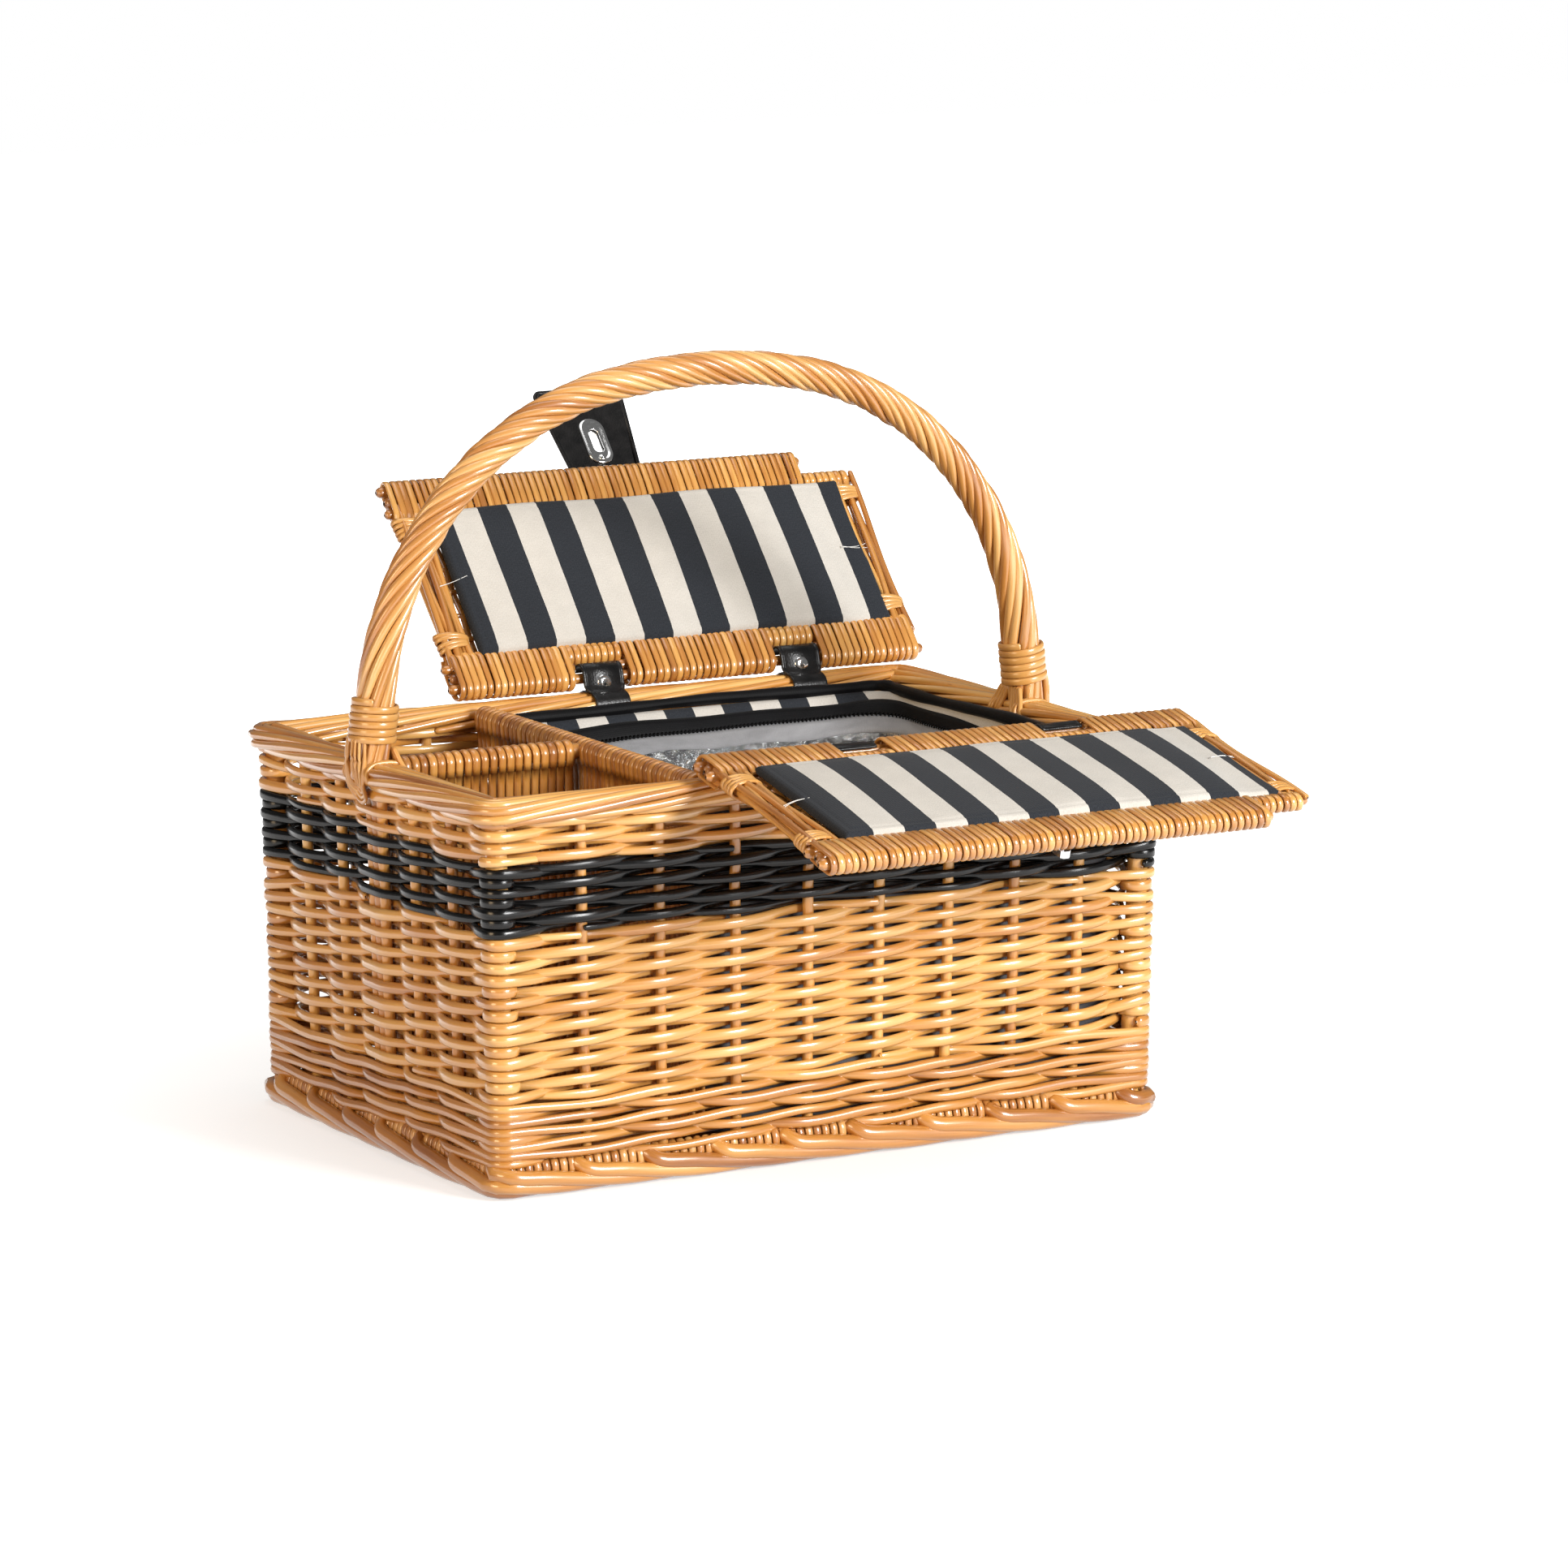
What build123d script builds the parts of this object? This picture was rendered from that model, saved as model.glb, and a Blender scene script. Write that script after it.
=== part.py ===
from build123d import *
import math
import os

# Woven willow picnic basket: stake-and-strand walls on a rolled foot, a rolled rim, an arched
# handle, two strap-hinged lids with a hasp and turn lock, bottle dividers and a cooler insert.
# Millimetres. Origin at the middle of the basket's underside, +X along its length, +Y to the
# back, +Z up. The rest pose has the front lid laid open and the back lid leaning back.

# Wall line (the middle of the stakes) at the floor, and how far it flares out by the top of the rim
FOOT_HALF_LENGTH = 199.0
LENGTH_FLARE = 6.0
FOOT_HALF_WIDTH = 134.5
WIDTH_FLARE = 2.5
RIM_TOP = 216.5

# Clearances
GAP = 0.3
COURSE_GAP = 0.5
FACE_GAP = 0.15

# Stakes and strands
ROD_SIDES = 10
STAKE_RADIUS = 3.1
LONG_WALL_STAKES = 8
SIDE_WALL_STAKES = 2
STAKE_DRIFT = 9.0
STRAND_DEPTH = 4.2
POST_RADIUS = 6.0
POST_INSET = 3.0
POST_EASE = 1.25

# Bands of courses, from the foot up
FOOT_HEIGHT = 14.0
WALE_START = 15.0
LOWER_START = 48.0
BLACK_START = 141.0
UPPER_START = 179.0
WEAVE_TOP = 205.4
WALE_COURSES = 3
LOWER_COURSES = 11
BLACK_COURSES = 5
UPPER_COURSES = 3

# Foot and base
FOOT_DEPTH = 18.0
FOOT_CORNER = 16.0
FOOT_CHAMFER = 4.0
BASE_UNDERSIDE = 5.0
BASE_THICKNESS = 6.0
BASE_STICK_RADIUS = 2.5
BASE_STICKS = 7

# Rim
RIM_ROD_RADIUS = 4.4
RIM_SPREAD_LONG = 5.6
RIM_SPREAD_SIDE = 7.7

# Handle
LEG_SPACING = 6.5
HANDLE_RADIUS = 10.5
HANDLE_SIDES = 8
HANDLE_SET_OUT = 4.0
HANDLE_TILT = 7.0
HANDLE_STRAIGHT = 41.7
SHOULDER_RADIUS = 179.0
CROWN_RADIUS = 307.0
CANE_WIDTH = 3.1
CANE_DEPTH = 1.7
CANE_PITCH = 3.7
BINDING_TURNS = 6
BINDING_START = 5.0
LASHING_WIDTH = 5.0
LASHING_THICKNESS = 1.6

# Dividers
DIVIDER_X = -76.0
DIVIDER_THICKNESS = 8.0
DIVIDER_PANEL_TOP = 205.5
DIVIDER_ROD_RADIUS = 5.0

# Cooler insert
COOLER_WALL = 4.0
FOIL_THICKNESS = 1.0
COOLER_TOP = 203.0
TOP_PANEL_THICKNESS = 2.5
FLANGE_WIDTH = 6.5
PANEL_RUN = 6.5
PANEL_DROP = 6.0
ZIP_RUN = 6.5
ZIP_DROP = 10.0
ZIP_THICKNESS = 2.2
ZIP_LAP = 1.5
COLLAR_WIDTH = 11.0
COLLAR_THICKNESS = 2.0
OPENING_CORNER = 48.0
CORNER_STEPS = 4
PIPING_SIZE = 6.0
PIPING_INSET = 1.5

# Lids: U runs from the hinge to the free edge, W out of the lid's outer face
LID_LEFT_OVERHANG = 8.0
LID_RIGHT_OVERHANG = 18.0
HINGE_RISE = 7.5
HINGE_SET_OUT = 1.45
LID_MEETING_GAP = 1.0
LID_CLEARANCE = 0.7
BAND_RADIUS = 6.0
HINGE_BAND_END = 20.0
FREE_BAND_WIDTH = 25.5
BAND_SLOPE = 1.5
MAT_HALF_THICKNESS = 3.0
HINGE_ROD_RADIUS = 3.2
FRAME_ROD_RADIUS = 2.8
INNER_ROD_U = 13.5
FREE_ROD_SPACING = 16.5
ROD_BORE_CLEARANCE = 0.1
SIDE_ROD_RADIUS = 2.5
SIDE_ROD_COUNT = 3
SIDE_ROD_GAP = 0.3
TIE_WIDTH = 9.0
TIE_THICKNESS = 1.4
TIE_SETBACK = 4.0
FRONT_OPEN_ANGLE = 192.8
BACK_OPEN_ANGLE = 131.3

# Lid lining
LINING_LEFT_MARGIN = 24.0
LINING_EDGE = 1.2
LINING_CROWN = 2.6
LINING_TAPER = 26.0

# Hinge straps
FIRST_STRAP_BAY = 4
SECOND_STRAP_BAY = 7
STRAP_SIDES = 10
STRAP_WIDTH = 23.0
STRAP_THICKNESS = 1.6
STRAP_NOTCH_SIDE = 2.0
STRAP_NOTCH_DEPTH = 9.5
TAB_LENGTH = 11.0
RIVET_RADIUS = 4.0
RIVET_HEIGHT = 1.2
RIVET_TAPER = 35.0

# Hasp on the back lid
HASP_ROOT_WIDTH = 46.0
HASP_TIP_WIDTH = 60.0
HASP_THICKNESS = 2.0
HASP_LENGTH = 64.0
HASP_TIP_ROUND = 16.0
HASP_ANCHOR_LENGTH = 18.0
HASP_FOLD_SETBACK = 1.5
HASP_LIFT = 1.5
PLATE_WIDTH = 15.0
PLATE_LENGTH = 32.0
PLATE_THICKNESS = 1.2
PLATE_CORNER = 4.0
SLOT_WIDTH = 7.5
SLOT_LENGTH = 17.0
SLOT_CORNER = 2.0
SLOT_REACH = 25.0

# Turn lock on the front lid
LOCK_BASE_LENGTH = 26.0
LOCK_BASE_DEPTH = 16.0
LOCK_BASE_THICKNESS = 1.6
LOCK_BASE_CORNER = 4.0
LOCK_PAD_DEPTH = 3.6
BUTTON_POST_RADIUS = 2.4
BUTTON_BORE_CLEARANCE = 0.05
BUTTON_LENGTH = 15.0
BUTTON_WIDTH = 6.0
BUTTON_HEIGHT = 4.0
BUTTON_CORNER = 1.5
BUTTON_LIFT = 0.5


def half_length(z):
    return FOOT_HALF_LENGTH + LENGTH_FLARE * z / RIM_TOP


def half_width(z):
    return FOOT_HALF_WIDTH + WIDTH_FLARE * z / RIM_TOP


# Values worked out from the driving dimensions
STAKE_FOOT = FOOT_HEIGHT + GAP
RIM_Z = RIM_TOP - RIM_ROD_RADIUS
RIM_LENGTH_LINE = half_length(RIM_Z)
RIM_WIDTH_LINE = half_width(RIM_Z)
STAKE_TOP = RIM_Z - RIM_ROD_RADIUS + GAP
POST_TOP = RIM_Z - RIM_ROD_RADIUS - GAP
BASE_TOP = BASE_UNDERSIDE + BASE_THICKNESS
STICK_Z = BASE_TOP + GAP + BASE_STICK_RADIUS
FLOOR_Z = STICK_Z + BASE_STICK_RADIUS + GAP
HANDLE_X = half_length(RIM_TOP) + HANDLE_SET_OUT
HINGE_Z = RIM_TOP + HINGE_RISE
HINGE_HALF_WIDTH = RIM_WIDTH_LINE + RIM_SPREAD_LONG + HINGE_SET_OUT
LID_LEFT = DIVIDER_X - LID_LEFT_OVERHANG
LID_RIGHT = half_length(RIM_TOP) + LID_RIGHT_OVERHANG
LID_CENTRE = (LID_LEFT + LID_RIGHT) / 2
LID_REACH = HINGE_HALF_WIDTH - LID_MEETING_GAP
LASHING_SKIN = GAP + LASHING_THICKNESS + LID_CLEARANCE
NOTCH_X = RIM_LENGTH_LINE - RIM_SPREAD_SIDE - RIM_ROD_RADIUS - LASHING_SKIN
NOTCH_U = HINGE_HALF_WIDTH - HANDLE_RADIUS - GAP - LASHING_WIDTH - LID_CLEARANCE
FREE_ROD_U = LID_REACH - BAND_RADIUS
FREE_BAND_START = LID_REACH - FREE_BAND_WIDTH
SIDE_BUNDLE = SIDE_ROD_COUNT * (2 * SIDE_ROD_RADIUS + SIDE_ROD_GAP)
SIDE_CUT = SIDE_BUNDLE + TIE_THICKNESS + GAP
FOLD_U = LID_REACH - HASP_FOLD_SETBACK
HASP_W = BAND_RADIUS + GAP + HASP_LIFT
LOCK_U = 2 * HINGE_HALF_WIDTH - (FOLD_U + SLOT_REACH)


def save(name, *solids):
    """Write one node, as many separate solids as it has."""
    pieces = [solid for group in solids for solid in group.solids()]
    export_step(Compound(children=pieces), os.path.join("parts", name + ".step"))


def rod(start, end, radius):
    """Willow rod between two points, peeled to flats that lie within its radius."""
    run = Vector(*end) - Vector(*start)
    section = Plane(origin=start, z_dir=run) * RegularPolygon(radius, ROD_SIDES)
    return extrude(section, amount=run.length)


def pin(start, end, radius):
    """Round rod between two points, for what turns."""
    run = Vector(*end) - Vector(*start)
    return extrude(Plane(origin=start, z_dir=run) * Circle(radius), amount=run.length)


def eased(width, length, corner):
    """Rectangle with its corners taken off."""
    return chamfer(Rectangle(width, length).vertices(), corner)


def block(x, y, z):
    """Box from three (low, high) spans."""
    size = [high - low for low, high in (x, y, z)]
    middle = [(high + low) / 2 for low, high in (x, y, z)]
    return Pos(*middle) * Box(*size)


class Wall:
    """One side of the basket: where its stakes stand and how its courses turn the corners."""

    def __init__(self, name, long_wall, sign):
        self.name = name
        self.long_wall = long_wall
        self.sign = sign

    def half_span(self, z):
        return half_length(z) if self.long_wall else half_width(z)

    def point(self, along, out, z):
        """Basket point from a distance along the wall and a distance out of its stake line."""
        if self.long_wall:
            return Vector(along, self.sign * (half_width(z) + out), z)
        return Vector(self.sign * (half_length(z) + out), along, z)

    def stations(self, z):
        """Stake groups along the wall; the middle group of an end wall is the handle's legs."""
        span = self.half_span(z) - POST_INSET
        if self.long_wall:
            pitch = 2 * span / (LONG_WALL_STAKES + 1)
            even = [pitch * (i + 1) - span for i in range(LONG_WALL_STAKES)]
            return [(s + STAKE_DRIFT * (1 - (s / span) ** 2),) for s in even]
        pitch = span / (SIDE_WALL_STAKES + 1)
        near = [(pitch * (i + 1) - span,) for i in range(SIDE_WALL_STAKES)]
        far = [(-s,) for (s,) in reversed(near)]
        return near + [(-LEG_SPACING, 0, LEG_SPACING)] + far

    def stakes(self):
        """Round stakes from the foot to the rim, without the handle's legs."""
        pairs = zip(self.stations(STAKE_FOOT), self.stations(STAKE_TOP))
        ends = [(low[0], high[0]) for low, high in pairs if len(low) == 1]
        return [
            rod(self.point(low, 0, STAKE_FOOT), self.point(high, 0, STAKE_TOP), STAKE_RADIUS)
            for low, high in ends
        ]

    def legs(self):
        """The handle's three legs, driven down through the middle of an end wall."""
        return [
            rod(self.point(y, 0, STAKE_FOOT), self.point(y, 0, RIM_TOP), STAKE_RADIUS)
            for y in (-LEG_SPACING, 0, LEG_SPACING)
        ]

    def sway(self, z):
        """How far a strand's middle swings from the stake line to clear each stake."""
        groups = self.stations(z)
        reach = STAKE_RADIUS + GAP + STRAND_DEPTH / 2
        bay = min(right[0] - left[-1] for left, right in zip(groups, groups[1:]))
        return reach * bay / math.sqrt(bay**2 - 4 * reach**2)

    def inside(self, z):
        """Distance from the basket's middle to the inside of the weave, with clearance."""
        half = half_width(z) if self.long_wall else half_length(z)
        return half - self.sway(z) - STRAND_DEPTH / 2 - 2 * GAP

    def course(self, z, height, outside):
        """One strand: round the corner posts, and outside or inside each stake in turn."""
        middle = z + height / 2
        sway = self.sway(middle)
        wrap = (POST_RADIUS + GAP + STRAND_DEPTH / 2) * POST_EASE
        corner = self.half_span(middle) - POST_INSET
        end_along = corner + wrap * math.sqrt(0.5) - FACE_GAP
        end_out = wrap * math.sqrt(0.5) + FACE_GAP - POST_INSET
        turn = corner + wrap * math.tan(math.pi / 8)
        path = [(-end_along, end_out), (-turn, wrap - POST_INSET)]
        for i, group in enumerate(self.stations(middle)):
            side = sway if outside(i) else -sway
            path += [(along, side) for along in sorted({group[0], group[-1]})]
        path += [(turn, wrap - POST_INSET), (end_along, end_out)]
        outline = ribbon([self.point(along, out, middle) for along, out in path], STRAND_DEPTH)
        return Pos(0, 0, z - middle) * extrude(make_face(outline), amount=height, dir=(0, 0, 1))

    def band(self, start, end, courses, outside):
        """A stack of courses; outside(course, stake) says where each passes."""
        pitch = (end - start) / courses
        height = pitch - COURSE_GAP
        return [
            self.course(start + i * pitch, height, lambda stake: outside(i, stake))
            for i in range(courses)
        ]


FRONT_WALL = Wall("front", True, -1)
LEFT_WALL = Wall("left", False, -1)


def ribbon(path, depth):
    """Closed outline of a strip that follows a path, with mitred bends and square ends."""
    headings = [(b - a).normalized() for a, b in zip(path, path[1:])]
    left = []
    right = []
    for i, point in enumerate(path):
        before = headings[max(i - 1, 0)]
        after = headings[min(i, len(headings) - 1)]
        across = (before + after).normalized().rotate(Axis.Z, 90)
        reach = across * (depth / 2 / across.dot(after.rotate(Axis.Z, 90)))
        left.append(point + reach)
        right.append(point - reach)
    return Polyline(*left, *reversed(right), close=True)


def plain_weave(course, stake):
    return (course + stake) % 2 == 0


def wale(course, stake):
    return (course + stake) % 3 != 0


def build_walls():
    walls = [FRONT_WALL, Wall("back", True, 1), LEFT_WALL, Wall("right", False, 1)]
    bands = [
        ("wale", WALE_START, LOWER_START, WALE_COURSES, wale),
        ("lower_weave", LOWER_START, BLACK_START, LOWER_COURSES, plain_weave),
        ("black_band", BLACK_START, UPPER_START, BLACK_COURSES, plain_weave),
        ("upper_weave", UPPER_START, WEAVE_TOP, UPPER_COURSES, plain_weave),
    ]
    for wall in walls:
        save(wall.name + "_stakes", *wall.stakes())
        for name, start, end, courses, rule in bands:
            save(wall.name + "_" + name, *wall.band(start, end, courses, rule))
    save("handle_legs", *[leg for wall in walls if not wall.long_wall for leg in wall.legs()])


def build_corner_posts():
    posts = []
    for sx in (-1, 1):
        for sy in (-1, 1):
            ends = [
                (sx * (half_length(z) - POST_INSET), sy * (half_width(z) - POST_INSET), z)
                for z in (STAKE_FOOT, POST_TOP)
            ]
            posts.append(rod(*ends, POST_RADIUS))
    save("corner_posts", *posts)


def build_foot_and_base():
    inner_corner = FOOT_CORNER / 2
    length = 2 * FOOT_HALF_LENGTH
    width = 2 * FOOT_HALF_WIDTH
    outer = RectangleRounded(length + FOOT_DEPTH, width + FOOT_DEPTH, FOOT_CORNER)
    inner = RectangleRounded(length - FOOT_DEPTH, width - FOOT_DEPTH, inner_corner)
    ring = extrude(outer - inner, amount=FOOT_HEIGHT)
    top_outer = ring.faces().sort_by(Axis.Z)[-1].outer_wire().edges()
    save("foot_border", chamfer(top_outer, FOOT_CHAMFER))

    half_x = FOOT_HALF_LENGTH - FOOT_DEPTH / 2 - GAP
    half_y = FOOT_HALF_WIDTH - FOOT_DEPTH / 2 - GAP
    panel = extrude(RectangleRounded(2 * half_x, 2 * half_y, inner_corner), amount=BASE_THICKNESS)
    save("base_panel", Pos(0, 0, BASE_UNDERSIDE) * panel)

    pitch = 2 * half_y / (BASE_STICKS + 1)
    rows = [pitch * (i + 1) - half_y for i in range(BASE_STICKS)]
    sticks = [rod((-half_x, y, STICK_Z), (half_x, y, STICK_Z), BASE_STICK_RADIUS) for y in rows]
    save("base_sticks", *sticks)


def mitred_rods(half_x, half_y):
    """Four rim rods that meet in mitres at the corners."""
    rods = []
    for sign in (-1, 1):
        along_x = rod((-half_x, sign * half_y, RIM_Z), (half_x, sign * half_y, RIM_Z), RIM_ROD_RADIUS)
        along_y = rod((sign * half_x, -half_y, RIM_Z), (sign * half_x, half_y, RIM_Z), RIM_ROD_RADIUS)
        rods.append(stretch_and_mitre(along_x, half_x, half_y))
        rods.append(stretch_and_mitre(along_y, half_x, half_y))
    return rods


def stretch_and_mitre(straight, half_x, half_y):
    """Lengthen a rim rod past its corners and cut it back to the mitre planes."""
    box = straight.bounding_box()
    along_x = box.size.X > box.size.Y
    centre = box.center()
    extra = 2 * RIM_ROD_RADIUS
    run = (half_x + extra, 0, 0) if along_x else (0, half_y + extra, 0)
    long_rod = rod(centre - Vector(*run), centre + Vector(*run), RIM_ROD_RADIUS)
    for sx in (-1, 1):
        for sy in (-1, 1):
            if (sy if along_x else sx) * (centre.Y if along_x else centre.X) < 0:
                continue
            keep = Vector(-sx, sy, 0) if along_x else Vector(sx, -sy, 0)
            corner = Vector(sx * half_x, sy * half_y, RIM_Z) + keep.normalized() * FACE_GAP
            long_rod = split(long_rod, bisect_by=Plane(origin=corner, z_dir=keep), keep=Keep.TOP)
    return long_rod


def build_rim():
    outer = mitred_rods(RIM_LENGTH_LINE + RIM_SPREAD_SIDE, RIM_WIDTH_LINE + RIM_SPREAD_LONG)
    inner = mitred_rods(RIM_LENGTH_LINE - RIM_SPREAD_SIDE, RIM_WIDTH_LINE - RIM_SPREAD_LONG)
    save("rim_outer_rods", *outer)
    save("rim_inner_rods", *inner)


def handle_path():
    """Arch in the XZ plane: leaning legs, two shoulders and a flatter crown."""
    tilt = math.radians(HANDLE_TILT)
    lean = Vector(-math.sin(tilt), 0, math.cos(tilt))
    seat = Vector(HANDLE_X, 0, RIM_TOP)
    foot = seat - lean * HANDLE_RADIUS
    leg_end = seat + lean * HANDLE_STRAIGHT
    inward = Vector(-math.cos(tilt), 0, -math.sin(tilt))
    shoulder_centre = leg_end + inward * SHOULDER_RADIUS
    meeting = math.acos(shoulder_centre.X / (CROWN_RADIUS - SHOULDER_RADIUS))
    meet_way = Vector(math.cos(meeting), 0, math.sin(meeting))
    half_way = Vector(math.cos((meeting + tilt) / 2), 0, math.sin((meeting + tilt) / 2))
    shoulder_mid = shoulder_centre + half_way * SHOULDER_RADIUS
    shoulder_end = shoulder_centre + meet_way * SHOULDER_RADIUS
    crown_z = shoulder_end.Z + CROWN_RADIUS * (1 - math.sin(meeting))

    def other_side(point):
        return Vector(-point.X, 0, point.Z)

    return Wire([
        Edge.make_line(foot, leg_end),
        Edge.make_three_point_arc(leg_end, shoulder_mid, shoulder_end),
        Edge.make_three_point_arc(shoulder_end, Vector(0, 0, crown_z), other_side(shoulder_end)),
        Edge.make_three_point_arc(other_side(shoulder_end), other_side(shoulder_mid), other_side(leg_end)),
        Edge.make_line(other_side(leg_end), other_side(foot)),
    ])


def cane_winding():
    """One unbroken winding of split cane round an upright axis, made of half turns."""
    radius = HANDLE_RADIUS + GAP + CANE_DEPTH / 2
    half_turns = 2 * BINDING_TURNS

    def at(quarter):
        angle = math.pi / 2 * quarter
        return Vector(radius * math.cos(angle), radius * math.sin(angle), CANE_PITCH * quarter / 4)

    arcs = [Edge.make_three_point_arc(at(2 * i), at(2 * i + 1), at(2 * i + 2)) for i in range(half_turns)]
    flat = -CANE_DEPTH / 2
    ridge = Polyline((flat, -CANE_WIDTH / 2), (flat, CANE_WIDTH / 2), (-flat, 0), close=True)
    section = Plane(origin=at(0), x_dir=(1, 0, 0), z_dir=(0, 1, 0)) * make_face(ridge)
    points = [arc @ (k / 8) for arc in arcs for k in range(8)]
    per_turn = 16
    apart = [
        (points[j] - points[i]).length
        for i in range(len(points))
        for j in range(i + per_turn // 2, len(points))
    ]
    print(f"handle binding: least gap between turns {min(apart) - CANE_WIDTH:.2f} mm")
    axis = Edge.make_line((0, 0, 0), (0, 0, CANE_PITCH * BINDING_TURNS))
    return sweep(section, path=Wire(arcs), binormal=axis)


def belt(circles, thickness, width):
    """Closed strap round two circles given as (y, z, radius), centred on x = 0."""

    def hull(clearance):
        rings = [
            Pos(y, z) * RegularPolygon(radius + clearance, STRAP_SIDES, major_radius=False)
            for y, z, radius in circles
        ]
        return make_hull([edge for ring in rings for edge in ring.edges()])

    section = Plane.YZ * (hull(GAP + thickness) - hull(GAP))
    return extrude(section, amount=width / 2, both=True)


def build_handle():
    path = handle_path()
    start = Plane(origin=path @ 0, z_dir=path % 0)
    bow = sweep(start * RegularPolygon(HANDLE_RADIUS, HANDLE_SIDES), path=path)
    bow = split(bow, bisect_by=Plane.XY.offset(RIM_TOP + GAP), keep=Keep.TOP)
    save("handle_bow", bow)

    tilt = math.radians(HANDLE_TILT)
    winding = cane_winding()
    bindings = []
    for sign in (-1, 1):
        lean = Vector(-sign * math.sin(tilt), 0, math.cos(tilt))
        foot = Vector(sign * HANDLE_X, 0, RIM_TOP) + lean * BINDING_START
        bindings.append(Plane(origin=foot, x_dir=(0, 1, 0), z_dir=lean) * winding)
    save("handle_bindings", *bindings)

    offset = HANDLE_RADIUS + GAP + LASHING_WIDTH / 2
    loops = []
    for sign in (-1, 1):
        rods = [
            (sign * RIM_LENGTH_LINE - RIM_SPREAD_SIDE, RIM_Z, RIM_ROD_RADIUS),
            (sign * RIM_LENGTH_LINE + RIM_SPREAD_SIDE, RIM_Z, RIM_ROD_RADIUS),
        ]
        loop = Rot(0, 0, -90) * belt(rods, LASHING_THICKNESS, LASHING_WIDTH)
        loops += [Pos(0, side * offset, 0) * loop for side in (-1, 1)]
    save("rim_lashings", *loops)


def build_dividers():
    left_face = DIVIDER_X - DIVIDER_THICKNESS / 2
    low = FRONT_WALL.inside(FLOOR_Z)
    high = FRONT_WALL.inside(DIVIDER_PANEL_TOP)
    outline = Polyline(
        (-low, FLOOR_Z), (low, FLOOR_Z), (high, DIVIDER_PANEL_TOP), (-high, DIVIDER_PANEL_TOP), close=True
    )
    panel = extrude(Plane.YZ.offset(left_face) * make_face(outline), amount=DIVIDER_THICKNESS)
    save("main_divider_panel", panel)

    low = LEFT_WALL.inside(FLOOR_Z)
    high = LEFT_WALL.inside(DIVIDER_PANEL_TOP)
    near = left_face - GAP
    outline = Polyline(
        (-low, FLOOR_Z), (near, FLOOR_Z), (near, DIVIDER_PANEL_TOP), (-high, DIVIDER_PANEL_TOP), close=True
    )
    section = Plane.XZ.offset(-DIVIDER_THICKNESS / 2) * make_face(outline)
    save("cross_divider_panel", extrude(section, amount=DIVIDER_THICKNESS))

    rod_z = DIVIDER_PANEL_TOP + GAP + DIVIDER_ROD_RADIUS
    half = RIM_WIDTH_LINE - RIM_SPREAD_LONG - RIM_ROD_RADIUS - GAP
    main = rod((DIVIDER_X, -half, rod_z), (DIVIDER_X, half, rod_z), DIVIDER_ROD_RADIUS)
    outer = RIM_LENGTH_LINE - RIM_SPREAD_SIDE - RIM_ROD_RADIUS - GAP
    cross_end = DIVIDER_X - DIVIDER_ROD_RADIUS - GAP
    cross = rod((-outer, 0, rod_z), (cross_end, 0, rod_z), DIVIDER_ROD_RADIUS)
    save("divider_top_rods", main, cross)


def open_box(x, y, z, thickness):
    """Floor and four walls as panels that meet edge to edge."""
    (x0, x1), (y0, y1), (z0, z1) = x, y, z
    inner_y = (y0 + thickness, y1 - thickness)
    rise = (z0 + thickness, z1)
    return [
        block(x, y, (z0, z0 + thickness)),
        block((x0, x0 + thickness), inner_y, rise),
        block((x1 - thickness, x1), inner_y, rise),
        block(x, (y0, y0 + thickness), rise),
        block(x, (y1 - thickness, y1), rise),
    ]


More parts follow.
